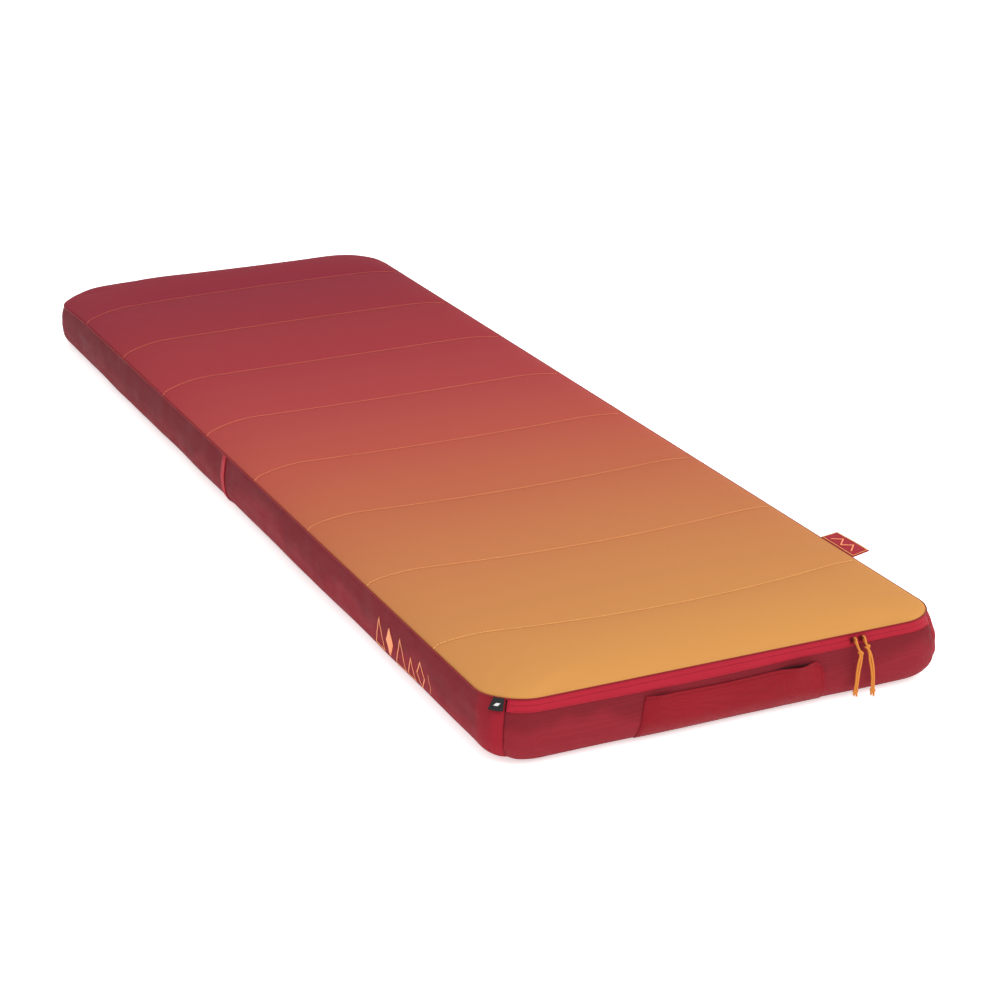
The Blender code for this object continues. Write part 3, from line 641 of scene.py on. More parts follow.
def wall_panel(name, start, end, node, top=lambda distance: 1.0, step=0.006):
    """A wall panel between two distances along the seam, from the wall's lower edge up to `top`."""
    levels = 26
    places = stations(start + PANEL_GAP, end - PANEL_GAP, step)
    rows = [[wall_point(place, top(place) * i / levels) for i in range(levels + 1)] for place in places]
    mesh = grid_mesh(name, rows)
    tints = mesh.attributes.new("tint", "FLOAT", "POINT")
    values = [wall_tint(place, start, end) for place in places for _ in range(levels + 1)]
    tints.data.foreach_set("value", values)
    thicken(subdivide(add_piece(name, mesh, "wall", "wall_fabric", nodes=[node])), CLOTH)


def wall_tint(distance, start, end):
    """1 on the bright strip of a side panel next to a foot corner seam, less beyond it and then 0."""
    if -SEAM.foot_corner < (start + end) / 2 < SEAM.foot_corner:
        return 0.0
    near = min(abs(distance - SEAM.foot_corner), abs(distance + SEAM.foot_corner))
    strip = clamp((STRIP_WIDTH - near) / 0.003)
    beyond = clamp((STRIP_FADE - near) / 0.008)
    return 0.45 * strip + 0.55 * beyond


def band_low(distance):
    """The height of the zip band's lower edge at this distance from the middle of the foot."""
    return BAND_LOW - BAND_DIP * bell(distance, -0.06, 0.17)


def walls():
    split = SEAM.left_side(STRAP_Y)
    foot, head = SEAM.foot_corner, SEAM.head_corner
    wall_panel("wall_left_foot", split, -foot, "side_wall_left_foot")
    wall_panel("wall_left_head", -head, split, "side_wall_left_head")
    wall_panel("wall_right", foot, head, "side_wall_right")
    wall_panel("wall_head", head, SEAM.length - head, "head_wall")

    def under_band(distance):
        return share_of_height(band_low(distance) + 1.2 * MM)

    wall_panel("wall_foot", -foot, foot, "foot_wall", under_band, 0.004)


# Tubes and stitches.


def ring(point, first, second, radius, sides):
    """A circle of points in the plane of two directions."""
    angles = [2 * math.pi * k / sides for k in range(sides)]
    return [point + radius * (math.cos(angle) * first + math.sin(angle) * second) for angle in angles]


def tube_rings(points, radius, sides, taper):
    """A circle round each point of a line, turned no more than the line turns."""
    rings = []
    last = len(points) - 1
    side = (points[1] - points[0]).normalized().orthogonal().normalized()
    for i, point in enumerate(points):
        ahead = (points[min(i + 1, last)] - points[max(i - 1, 0)]).normalized()
        side = (side - ahead * side.dot(ahead)).normalized()
        rings.append(ring(point, side, ahead.cross(side), radius * taper(i / last), sides))
    return rings


def join_tubes(name, lines, radius, sides, taper):
    """One mesh of a closed tube along each line."""
    points, faces = [], []
    for line in lines:
        first = len(points)
        for circle in tube_rings(line, radius, sides, taper):
            points += circle
        for start in range(first, len(points) - sides, sides):
            for k in range(sides):
                a, b = start + k, start + (k + 1) % sides
                faces.append((a, b, b + sides, a + sides))
        faces.append(tuple(reversed(range(first, first + sides))))
        faces.append(tuple(range(len(points) - sides, len(points))))
    return mesh_from(name, points, faces, sharp=60)


def loop_tube(name, line, radius, sides, side):
    """A tube round a loop of points, whose first circle starts at the direction `side`."""
    rows = []
    for i, point in enumerate(line):
        ahead = (line[(i + 1) % len(line)] - line[i - 1]).normalized()
        side = (side - ahead * side.dot(ahead)).normalized()
        circle = ring(point, side, ahead.cross(side), radius, sides)
        rows.append([*circle, circle[0]])
    mesh = grid_mesh(name, rows, closed=True)
    weld(mesh)
    return mesh


def weld(mesh):
    """Joins points that lie together, and turns all faces outwards."""
    shape = bmesh.new()
    shape.from_mesh(mesh)
    bmesh.ops.remove_doubles(shape, verts=shape.verts, dist=1e-6)
    bmesh.ops.recalc_face_normals(shape, faces=shape.faces)
    shape.to_mesh(mesh)
    shape.free()


def stitches_along(line, length, gap, lift):
    """Short curved stitches along a line of (point, outward) pairs."""
    steps = [0.0]
    for (first, _), (second, _) in zip(line, line[1:]):
        steps.append(steps[-1] + (second - first).length)

    def at(distance):
        i = min(max(np.searchsorted(steps, distance) - 1, 0), len(line) - 2)
        share = (distance - steps[i]) / max(1e-9, steps[i + 1] - steps[i])
        return line[i][0].lerp(line[i + 1][0], share), line[i][1].lerp(line[i + 1][1], share)

    made, start = [], gap
    while start + length < steps[-1]:
        stitch = []
        for i in range(5):
            point, outward = at(start + length * i / 4)
            arch = math.sin(math.pi * i / 4)
            stitch.append(point + outward * (lift * (1.4 * arch - 0.5)))
        made.append(stitch)
        start += length + gap
    return made


def stitch_taper(share):
    return 0.55 + 0.45 * math.sin(math.pi * share)


def stitch_mesh(name, lines, length, gap, lift, radius):
    """Stitches along lines of (point, outward) pairs, as one mesh."""
    stitches = [stitch for line in lines for stitch in stitches_along(line, length, gap, lift)]
    return join_tubes(name, stitches, radius, 6, stitch_taper)


def sew(name, lines, slot, length=2.4 * MM, gap=0.8 * MM):
    """Seams in fine red thread."""
    add_piece(name, stitch_mesh(name, lines, length, gap, 0.4 * MM, 0.3 * MM), "thread_red", slot)


# The quilted top.


def stitch_lines():
    return [STITCH_FIRST + STITCH_STEP * i for i in range(STITCH_COUNT)]


def channel_levels():
    """Level of each row of the top, and the rows that are sewn.

    A level counts channels: 0 is the foot edge, whole numbers are stitch lines, the last is the head edge.
    """
    levels, sewn = [], []
    foot_share = FOOT_RADIUS / (STITCH_FIRST - SEAM_FOOT)
    head_share = HEAD_RADIUS / (SEAM_HEAD - STITCH_FIRST - STITCH_STEP * (STITCH_COUNT - 1))
    levels += [foot_share * (1 - math.cos(math.pi / 2 * k / 14)) for k in range(14)]
    levels += [foot_share + (1 - foot_share) * k / 18 for k in range(18)]
    for channel in range(1, STITCH_COUNT):
        sewn.append(len(levels))
        levels += [channel + k / 22 for k in range(22)]
    sewn.append(len(levels))
    levels += [STITCH_COUNT + (1 - head_share) * k / 14 for k in range(14)]
    levels += [STITCH_COUNT + 1 - head_share * (1 - math.sin(math.pi / 2 * k / 18)) for k in range(19)]
    return levels, sewn


def line_shift(number, across):
    """How far stitch line `number` lies from straight, towards the head, at a share of the half width."""
    if number < 0 or number >= STITCH_COUNT:
        return 0.0
    bow = (BOW_STEP * number - FOOT_BOW) * (1 - across**2)
    slant = SLANT * number**2 * across / 2
    ends = END_PULL * min(1.0, (number + 1) / 5) * max(0.0, (abs(across) - 0.72) / 0.28) ** 1.5
    return bow + slant - ends


def level_place(level, across):
    """(x, y) on the top at a channel level and a share of the half width."""
    marks = [SEAM_FOOT, *stitch_lines(), SEAM_HEAD]
    channel = min(int(level), len(marks) - 2)
    share = level - channel
    y = marks[channel] + (marks[channel + 1] - marks[channel]) * share
    x = SEAM.half_width_at(y) * across
    if channel == 0:
        start = FOOT_RADIUS / (marks[1] - marks[0])
        share = max(0.0, (share - start) / (1 - start))
    elif channel == STITCH_COUNT:
        end = 1 - HEAD_RADIUS / (marks[-1] - marks[-2])
        share = min(1.0, share / end)
    shift = line_shift(channel - 1, across) * (1 - share) + line_shift(channel, across) * share
    return x, y + shift


def top_height(x, y, channel):
    """Height of the top, where `channel` runs from 0 to 1 between two rows of stitches."""
    depth = SEAM.depth_inside(x, y)
    crown = CROWN * math.sqrt(1 - (1 - clamp(depth / SHOULDER)) ** 2)
    inner = min(1.0, depth / 0.045)
    puff = PUFF * abs(math.sin(math.pi * channel)) ** 0.75 * inner
    return SEAM_HEIGHT + crown + puff - 0.35 * PUFF * inner


def top_row(level):
    """The points of one row of the top; the end channels stay full towards the seam."""
    share = level % 1
    if level < 1:
        share = max(share, 0.5)
    elif level > STITCH_COUNT:
        share = min(share, 0.5)
    row = []
    for k in range(TOP_COLUMNS + 1):
        part = 2 * k / TOP_COLUMNS - 1
        across = 0.55 * part + 0.45 * math.sin(math.pi / 2 * part)
        x, y = level_place(level, across)
        row.append(Vector((x, y, top_height(x, y, share))))
    return row


def quilted_top():
    """The crowned top, inflated between its rows of stitches. Returns the points of those rows."""
    levels, sewn = channel_levels()
    count = TOP_COLUMNS + 1
    mesh = grid_mesh("quilted_top", [top_row(level) for level in levels])
    mesh.flip_normals()
    obj = add_piece("quilted_top", mesh, "knit", "knit", nodes=["top_panel", "quilt_wadding"])
    crease_rows(mesh, sewn, count)
    rows = {0, *sewn, len(levels) - 1}
    edges = (0, TOP_COLUMNS)
    inflate(obj, [i for i in range(len(levels) * count) if i // count in rows or i % count in edges])
    points = [vertex.co.copy() for vertex in mesh.vertices]
    lines = [points[row * count : (row + 1) * count] for row in sewn]
    thicken(subdivide(obj), 3.2 * MM)
    return lines


def crease_rows(mesh, sewn, count):
    creases = mesh.attributes.new("crease_edge", "FLOAT", "EDGE")
    lines = set(sewn)
    for edge in mesh.edges:
        first, second = edge.vertices
        if first // count == second // count and first // count in lines:
            creases.data[edge.index].value = 1.0


CLOTH_SETTINGS = {
    "quality": 4,
    "mass": 0.25,
    "tension_stiffness": 12,
    "compression_stiffness": 12,
    "shear_stiffness": 6,
    "bending_stiffness": 2.0,
    "air_damping": 3,
    "use_pressure": True,
    "uniform_pressure_force": 3.2,
    "vertex_group_mass": "held",
}
INFLATE_FRAMES = 20
INFLATE_MOST = 0.010


def inflate(obj, fixed):
    """Blows the sheet up with a cloth simulation that holds the `fixed` vertices, then keeps the shape."""
    before = np.array([vertex.co for vertex in obj.data.vertices])
    group = obj.vertex_groups.new(name="held")
    group.add(fixed, 1.0, "REPLACE")
    cloth = obj.modifiers.new("Cloth", "CLOTH")
    for key, value in CLOTH_SETTINGS.items():
        setattr(cloth.settings, key, value)
    cloth.settings.effector_weights.gravity = 0
    cloth.point_cache.frame_start = 1
    cloth.point_cache.frame_end = INFLATE_FRAMES
    scene = bpy.context.scene
    for number in range(1, INFLATE_FRAMES + 1):
        scene.frame_set(number)
    shape = obj.evaluated_get(bpy.context.evaluated_depsgraph_get()).data
    move = np.array([vertex.co for vertex in shape.vertices]) - before
    far = np.linalg.norm(move, axis=1)
    scale = np.minimum(1.0, INFLATE_MOST / np.maximum(far, 1e-9))
    after = before + move * scale[:, None]
    obj.modifiers.remove(cloth)
    obj.vertex_groups.remove(group)
    obj.data.vertices.foreach_set("co", after.ravel())
    obj.data.update()
    scene.frame_set(1)
    print(f"inflated {obj.name}: mean {far.mean() * 1000:.2f} mm, most {far.max() * 1000:.2f} mm")


def quilt_stitches(lines):
    """Stitches on the sewn rows, which stop a little short of the right seam."""
    up = Vector((0.0, 0.0, 1.0))
    raised = [[(point + up * 0.55 * MM, up) for point in line[:-3]] for line in lines]
    mesh = stitch_mesh("quilt_stitches", raised, 4.2 * MM, 0.9 * MM, 0.6 * MM, 0.55 * MM)
    add_piece("quilt_stitches", mesh, "quilt_thread", "cord", settle=False)


def seam_piping():
    """A thin rolled edge all round the top seam."""
    flat = [SEAM.point(distance, -0.3 * MM) for distance in stations(0.0, SEAM.length, 0.006)[:-1]]
    line = [Vector((*point, SEAM_HEIGHT - 0.2 * MM)) for point in flat]
    mesh = loop_tube("seam_piping", line, 1.1 * MM, 8, Vector((0, -1, 0)))
    add_piece("seam_piping", mesh, "piping", "wall_fabric")


def weld(mesh):
    shape = bmesh.new()
    shape.from_mesh(mesh)
    bmesh.ops.remove_doubles(shape, verts=shape.verts, dist=1e-6)
    bmesh.ops.recalc_face_normals(shape, faces=shape.faces)
    shape.to_mesh(mesh)
    shape.free()


def base():
    """The underside, slightly uneven where the cloth is slack."""
    inset = BASE_INSET + 0.3 * MM
    outline = [SEAM.point(distance, inset) for distance in stations(0.0, SEAM.length, 0.02)[:-1]]
    rows = []
    for share in (0.0, 0.25, 0.5, 0.75, 0.9, 1.0):
        row = []
        for point in outline:
            spine = Vector((0.0, clamp(point.y, -BASE_SPINE, BASE_SPINE)))
            flat = spine.lerp(point, share)
            lift = 0.25 * MM * (1 + ripple(flat.x * 14, flat.y * 14, 2.0)) * (1 - share)
            row.append(Vector((*flat, lift)))
        rows.append([*row, row[0]])
    mesh = grid_mesh("base_cloth", rows)
    weld(mesh)
    mesh.flip_normals()
    thicken(add_piece("base_cloth", mesh, "base", "base_fabric", nodes=["base_panel"]), CLOTH)


# The zip.


def zip_tape(name, low, high, node):
    """A strip of tape on the foot wall's face between two heights, which may vary along it."""
    reach = SEAM.foot_corner - 2 * MM
    rows = []
    for distance in stations(-reach, reach, 0.004):
        bottom, top = low(distance), high(distance)
        rows.append([band_point(distance, bottom + (top - bottom) * i / 6) for i in range(7)])
    obj = add_piece(name, grid_mesh(name, rows), "tape", "zip_tape", nodes=[node])
    thicken(obj, 0.8 * MM)


def band_point(distance, height, lift=0.0):
    """A point on the zip band, whose face is plain so that the sliders can run along it."""
    inset, height = wall_profile(share_of_height(height))
    return Vector((*SEAM.point(distance, inset - lift), height))


def zip_band():
    zip_tape("zip_tape_over", lambda _: ZIP_HEIGHT + ZIP_SLOT, lambda _: SEAM_HEIGHT, "zip_tape_upper")
    zip_tape("zip_tape_under", band_low, lambda _: ZIP_HEIGHT - ZIP_SLOT, "zip_tape_lower")
    reach = SEAM.foot_corner - 8 * MM
    out = Vector((0, -1, 0.2))
    places = stations(-reach, reach, 0.004)
    line = [(band_point(place, band_low(place) + 1.6 * MM, 0.2 * MM), out) for place in places]
    sew("zip_stitches", [line], "zip_tape", length=2.6 * MM)


# The pocket.


def pocket_x(share):
    return POCKET_LEFT + (POCKET_RIGHT - POCKET_LEFT) * share


def pocket_top(share):
    """Height of the pocket's open edge at a share of its width, from the left."""
    dip = 0.0030 * math.sin(math.pi * min(1.0, share / 0.85))
    sag = 0.0016 * bell(share, 0.85, 0.07)
    corner = 0.011 * max(0.0, (share - 0.95) / 0.05) ** 1.5
    return 0.0620 - dip - sag - corner


def pocket_gap(share):
    """How far the pocket's open edge stands off the wall."""
    return 10.0 * MM * bell(share, 0.85, 0.07) + 4.0 * MM * bell(share, 0.09, 0.05) + 0.6 * MM


def pocket_shadow_sheet():
    """A dark sheet just behind the pocket's open edge: painted shadow where the pocket's mouth gapes."""

    def place(u, level):
        share = (1 + (POCKET_COLUMNS - 2) * u) / POCKET_COLUMNS
        rise = 3.8 * MM * bell(share, 0.82, 0.10) + 1.4 * MM * bell(share, 0.09, 0.05)
        height = pocket_top(share) - 1.0 * MM + rise - 14 * MM * (1 - level)
        lift = 0.3 * MM + 0.45 * pocket_gap(share) * level
        return wall_point(pocket_x(share), share_of_height(height), lift)

    mesh = sheet("pocket_shadow_sheet", place, POCKET_COLUMNS - 2, 8)
    thicken(add_piece("pocket_shadow_sheet", mesh, "pocket_shadow", "pocket_fabric"), 0.4 * MM)


def pocket_place(share, level):
    """A point on the pocket's front, from its foot at level 0 to its open edge at 1."""
    x = pocket_x(share)
    height = POCKET_FOOT + (pocket_top(share) - POCKET_FOOT) * level
    loose = min(1.0, (x - POCKET_LEFT) / 0.008, (POCKET_RIGHT - x) / 0.008)
    stand = pocket_gap(share) * level**3 * loose
    slack = 1.3 * MM * math.sin(math.pi * level) * loose * (1 + ripple(x * 12, height * 40, 7.7))
    lean = 0.014 * (1 - level) * (-1 if x < 0 else 0.4) * (abs(x) / 0.126) ** 4
    return wall_point(x + lean, share_of_height(height), 0.9 * MM + stand + slack)


def pocket():
    """The pocket's front, its folded edge and the stitches down its sides."""
    rows = sheet_rows(pocket_place, POCKET_COLUMNS, 18)
    mesh = grid_mesh("pocket_front", rows)
    front = add_piece("pocket_front", mesh, "pocket", "pocket_fabric", nodes=["foot_pocket"])
    thicken(subdivide(front), 0.8 * MM)

    hem_rows = []
    for row in rows:
        down = (row[-2] - row[-1]).normalized()
        edge = row[-1] + Vector((0, -0.55 * MM, 0))
        hem_rows.append([edge + down * drop for drop in (3.2 * MM, 2.1 * MM, 1.0 * MM, -0.3 * MM)])
    mesh = grid_mesh("pocket_edge", hem_rows)
    hem = add_piece("pocket_edge", mesh, "pocket", "pocket_fabric", nodes=["pocket_hem"])
    thicken(hem, 0.6 * MM, offset=0.0)

    out = Vector((0, -1, 0))
    lines = [[(point + out * 0.3 * MM, out) for point in row[1:]] for row in (rows[1], rows[-2])]
    sew("pocket_stitches", lines, "pocket_fabric")


# Webbing, labels and print.


def strap():
    """Webbing over the left wall, with rows of stitches across it."""
    middle = SEAM.left_side(STRAP_Y)

    def place(u, share, lift=1.2 * MM):
        return wall_point(middle + STRAP_WIDTH * (u - 0.5), share, lift)

    mesh = sheet("side_webbing", lambda u, v: place(u, 0.10 + 0.885 * v), 6, 20)
    thicken(add_piece("side_webbing", mesh, "strap", "strap", nodes=["side_strap"]), 1.0 * MM)
    out = Vector((-1, 0, 0))
    lines = [[(place(i / 11, share, 1.4 * MM), out) for i in range(12)] for share in (0.90, 0.94, 0.20)]
    sew("strap_stitches", lines, "strap", 1.8 * MM, 0.5 * MM)


def corner_label():
    """A black woven label that hangs from the top seam at the foot's left corner, with a generic mark."""
    high, low = SEAM_HEIGHT + 0.8 * MM, 0.0715

    def place(along, down, lift=1.8 * MM):
        distance = -SEAM.foot_corner - 14.5 * MM + 13 * MM * along - 4.5 * MM * down * (1 - along)
        height = high - (high - low) * down
        flat = wall_point(distance, share_of_height(min(height, SEAM_HEIGHT)), lift + 1.6 * MM * down)
        return Vector((flat.x, flat.y, height))

    def mark_place(u, v):
        return place(0.26 + 0.34 * u + 0.16 * v, 0.62 - 0.22 * v, 2.5 * MM)

    mesh = sheet("corner_tag", place, 8, 8)
    tag = add_piece("corner_tag", mesh, "label_black", "black_label", nodes=["corner_label"])
    thicken(tag, 1.0 * MM, offset=0.0)
    mesh = sheet("corner_tag_mark", mark_place, 4, 3)
    thicken(add_piece("corner_tag_mark", mesh, "label_white", "black_label"), 0.3 * MM)


def ribbon(points, width, closed):
    """Pairs of edge points of a line of even width through 2-D points, with mitred bends."""
    count = len(points)
    edges = []
    for i, point in enumerate(points):
        before = points[i - 1] if (closed or i) else point
        after = points[(i + 1) % count] if (closed or i < count - 1) else point
        first = (point - before).normalized() if (point - before).length else (after - point).normalized()
        second = (after - point).normalized() if (after - point).length else first
        bend = (first + second).normalized()
        across = Vector((-bend.y, bend.x))
        reach = width / 2 / max(0.35, abs(across.dot(Vector((-first.y, first.x)))))
        edges.append((point - across * reach, point + across * reach))
    return edges


def print_shape(name, corners, width, closed, place, look, slot):
    """A flat printed line that follows the surface given by `place(u, v)`."""
    fine = []
    ends = [*corners, corners[0]] if closed else corners
    for first, second in zip(map(Vector, ends), map(Vector, ends[1:])):
        pieces = max(2, round((second - first).length / (3 * MM)))
        fine += [first.lerp(second, k / pieces) for k in range(pieces)]
    if not closed:
        fine.append(Vector(corners[-1]))
    rows = [[place(*low), place(*high)] for low, high in ribbon(fine, width, closed)]
    thicken(add_piece(name, grid_mesh(name, rows, closed=closed), look, slot), PRINT_DEPTH)


def wall_print():
    """Generic peaks and diamonds along the left wall near the foot."""

    def place(y, z):
        return wall_point(SEAM.left_side(y), share_of_height(z), 0.35 * MM)

    def peak(y, wide, low, high):
        return [(y - wide, low), (y, high), (y + wide, low)]

    def diamond(y, wide, low, high):
        middle = (low + high) / 2
        return [(y - wide, middle), (y, high), (y + wide, middle), (y, low)]

    def solid_place(share, side):
        reach = 0.3 * MM + 0.0115 * (1 - abs(2 * share - 1))
        return place(-0.652 + reach * (1 - 2 * side), 0.020 + 0.042 * share)

    mesh = sheet("wall_print_solid", solid_place, 12, 4)
    thicken(add_piece("wall_print_solid", mesh, "print", "cord"), PRINT_DEPTH, offset=0.0)
    shapes = (
        peak(-0.618, 0.015, 0.021, 0.062),
        peak(-0.688, 0.016, 0.020, 0.060),
        peak(-0.722, 0.012, 0.020, 0.048),
        diamond(-0.754, 0.012, 0.019, 0.056),
    )
    for number, corners in enumerate(shapes, 1):
        print_shape(f"wall_print_{number}", corners, 2.0 * MM, True, place, "print", "cord")
    tick = [(-0.779, 0.050), (-0.783, 0.034), (-0.780, 0.022)]
    print_shape("wall_print_tick", tick, 1.0 * MM, False, place, "print", "cord")


def side_label():
    """A tab with a generic mark, sewn into the right seam near the foot."""
    root = SEAM_HALF_WIDTH + 0.4 * MM

    def place(along, out, lift=0.0):
        curl = 4.0 * MM * out + 1.2 * MM * math.sin(3.0 * along + 1.0) * out
        height = SEAM_HEIGHT + 0.4 * MM + curl + lift
        return Vector((root + TAB_REACH * out, TAB_FOOT_END + TAB_LENGTH * along, height))

    mesh = sheet("side_tab", place, 20, 8)
    mesh.flip_normals()
    thicken(add_piece("side_tab", mesh, "label_red", "strap", nodes=["side_label"]), 1.2 * MM)

    def print_place(u, v):
        return place(u / TAB_LENGTH, v / TAB_PRINT_SCALE, 0.35 * MM)

    border = [(0.03, 0.10), (0.97, 0.10), (0.97, 0.93), (0.03, 0.93)]
    zigzag = [(0.18, 0.28), (0.34, 0.72), (0.50, 0.28), (0.66, 0.72), (0.82, 0.28)]
    for name, corners, width, closed, look in (
        ("side_tab_border", border, 0.96 * MM, True, "thread"),
        ("side_tab_mark", zigzag, 2.4 * MM, False, "print"),
    ):
        scaled = [(u * TAB_LENGTH, v * TAB_PRINT_SCALE) for u, v in corners]
        print_shape(name, scaled, width, closed, print_place, look, "strap")


# The cord pulls.

STRAND = 0.0028
CORD_FALL = (  # how far out and how high each strand passes, from the slider down
    (0.9842, 0.0725),
    (0.9903, 0.0645),
    (0.9912, 0.0560),
    (0.9914, 0.0430),
    (0.9912, 0.0280),
    (0.9910, 0.0130),
)
PULLS = {  # each slider's X, the cord's X on its way down, and heights of its knots and its cut end
    "left": (SLIDER_LEFT_X, (0.1762, 0.1772, 0.1758, 0.1735, 0.1728, 0.1715), (0.0665, 0.0155, 0.0090)),
    "right": (SLIDER_RIGHT_X, (0.1892, 0.1903, 0.1918, 0.1945, 0.1965, 0.1972), (0.0710, 0.0115, 0.0045)),
}
def smooth_line(points, step):
    """Points about `step` apart on a Catmull-Rom curve through the given points."""
    padded = [2 * points[0] - points[1], *points, 2 * points[-1] - points[-2]]
    line = []
    for before, first, second, after in zip(padded, padded[1:], padded[2:], padded[3:]):
        pieces = max(1, round((second - first).length / step))
        for i in range(pieces):
            t = i / pieces
            line.append(
                0.5
                * (
                    2 * first
                    + (second - before) * t
                    + (2 * before - 5 * first + 4 * second - after) * t * t
                    + (3 * first - before - 3 * second + after) * t * t * t
                )
            )
    return [*line, points[-1]]


def strand_points(slider_x, sway, side, drop):
    """One strand of a pull: over the slider's bar, through the upper knot and down to the lower one."""
    bar = ZIP_FACE + ZIP_OUT * CROWN_BAR
    bar.x = slider_x
    turn = STRAND / 2 + 0.75 * MM
    points = []
    for angle in (90, 60, 30, 0) if side > 0 else (90, 120, 150, 180):
        a = math.radians(angle)
        points.append(bar + turn * (math.cos(a) * ZIP_OUT + math.sin(a) * ZIP_UP))
    spread = STRAND / 2 * 0.98 * side
    for i, (x, (out, z)) in enumerate(zip(sway, CORD_FALL), 1):
        wide = clamp((i - 1) / 1.5)
        bend = 0.7 * MM * math.sin(i * 1.9 + side)
        points.append(Vector((x, -out, z)) + Vector((spread * wide + bend * wide * 0.4, -0.3 * MM * side, 0)))
    points[-1].z = drop
    return points


def overhand_knot(name, centre, size, body, nodes=(), tilt=0.0):
    """A tight knot: a closed loop of cord wound through itself."""
    count = 66
    width, depth, height = size
    line = []
    turn = Matrix.Rotation(tilt, 3, "Y")
    for i in range(count):
        t = 2 * math.pi * i / count
        x = (math.sin(t) + 2 * math.sin(2 * t)) / 3
        z = (math.cos(t) - 2 * math.cos(2 * t)) / 3
        y = -math.sin(3 * t)
        line.append(centre + turn @ Vector((x * width / 2, y * depth / 2, z * height / 2)))
    mesh = loop_tube(name, line, 1.25 * MM, 10, Vector((0, 1, 0)))
    return add_piece(name, mesh, "cord", "cord", body, nodes)


def strand_curve(name, points, body, nodes=()):
    curve = bpy.data.curves.new(name, "CURVE")
    curve.dimensions = "3D"
    curve.bevel_depth = STRAND / 2
    curve.bevel_resolution = 3
    curve.use_fill_caps = True
    line = smooth_line(points, 2.0 * MM)
    spline = curve.splines.new("POLY")
    spline.points.add(len(line) - 1)
    for slot, place in zip(spline.points, line):
        slot.co = (*place, 1.0)
    spline.use_smooth = True
    obj = add_piece(name, curve, "cord", "cord", body, nodes)
    length = sum((b - a).length for a, b in zip(line, line[1:]))
    return obj, line, length


def frayed_end(name, tip, direction, body):
    """Loose fibres where a strand was cut."""
    lines = []
    for i in range(9):
        angle = 2 * math.pi * i / 9 + 0.3
        around = Vector((math.cos(angle), math.sin(angle), 0))
        start = tip + around * 0.8 * MM - direction * 0.6 * MM
        reach = (2.2 + 0.9 * math.sin(5 * i)) * MM
        bend = around * (0.5 + 0.4 * math.cos(3 * i)) * MM
        lines.append([start, start + direction * reach * 0.6 + bend * 0.4, start + direction * reach + bend])
    mesh = join_tubes(name, lines, 0.32 * MM, 5, lambda share: 1.0 - 0.5 * share)
    return add_piece(name, mesh, "cord", "cord", body)


def cord_pull(side):
    """A cord doubled through its slider, knotted twice and cut below the lower knot."""
    slider_x, sway, (upper_z, lower_z, tail_z) = PULLS[side]
    body = "pull_" + side
    tilt = 0.35 if side == "left" else -0.35
    frays, strands = [], []
    for number, way in ((1, 1), (2, -1)):
        points = strand_points(slider_x, sway, way, lower_z)
        last = points[-1]
        points.append(Vector((last.x + way * 0.4 * MM, last.y, tail_z + (0 if way > 0 else 1.8 * MM))))
        nodes = ["pull_cord_" + side] if number == 1 else ()
        obj, line, length = strand_curve(f"{body}_strand_{number}", points, body, nodes)
        strands.append((obj, line, length))
        direction = (line[-1] - line[-2]).normalized()
        frays.append(frayed_end(f"{body}_fray_{number}", line[-1], direction, body))

    def middle(height):
        """Half way between the two strands, below the slider."""
        first, second = [min(line[6:], key=lambda p: abs(p.z - height)) for _, line, _ in strands]
        return (first + second) / 2

    upper_size, lower_size = (5.6 * MM, 2.6 * MM, 4.6 * MM), (5.8 * MM, 2.6 * MM, 5.0 * MM)
    upper = overhand_knot(f"{body}_upper_knot", middle(upper_z), upper_size, body, tilt=tilt)
    lower = overhand_knot(
        f"{body}_lower_knot", middle(lower_z), lower_size, body, ["pull_knot_" + side], -tilt
    )
    for number, (obj, line, length) in enumerate(strands):
        tuple(line[0])
        [upper, lower, *frays] if number == 0 else []


# The mat inside, and the hard parts that keep their CAD shape.


MAT = Outline(MAT_HALF_WIDTH, MAT_FOOT, MAT_HEAD, 0.052, 0.087)


def mat_line(low, high, gap, count):
    """(inset, height) points of a skin of the mat between two heights; it follows the cover's walls."""
    heights = [low + (high - low) * i / count for i in range(count + 1)]
    return [(wall_profile(share_of_height(height))[0] + BULGE + gap, height) for height in heights]


def mat_crown(start):
    """The mat's rounded top, which carries on from the wall's last point."""
    inset, height = start
    angles = [math.pi / 2 * i / 6 for i in range(1, 7)]
    return [
        (inset + MAT_SHOULDER * (1 - math.cos(angle)), height + MAT_CROWN * math.sin(angle))
        for angle in angles
    ]


def mat_shell(name, points, look, slot, node, lid, thickness=0.0):
    """A skin round the mat, closed by a flat sheet at the ends that `lid` names."""
    rows = []
    for distance in stations(0.0, MAT.length, 0.02)[:-1]:
        rows.append([Vector((*MAT.point(distance, inset), height)) for inset, height in points])
    mesh = grid_mesh(name, rows, closed=True)
    close_ends(mesh, len(points), lid)
    obj = add_piece(name, mesh, look, slot, nodes=[node])
    if thickness:
        thicken(obj, thickness)
    return obj


def close_ends(mesh, count, lid):
    """Closes a ring of rows of `count` points across its low end (0), its high end (-1) or both."""
    shape = bmesh.new()
    shape.from_mesh(mesh)
    shape.verts.ensure_lookup_table()
    for end in lid:
        start = 0 if end == 0 else count - 1
        loop = [shape.verts[i] for i in range(start, len(shape.verts), count)]
        shape.faces.new(loop if end else loop[::-1])
    bmesh.ops.recalc_face_normals(shape, faces=shape.faces)
    shape.to_mesh(mesh)
    shape.free()


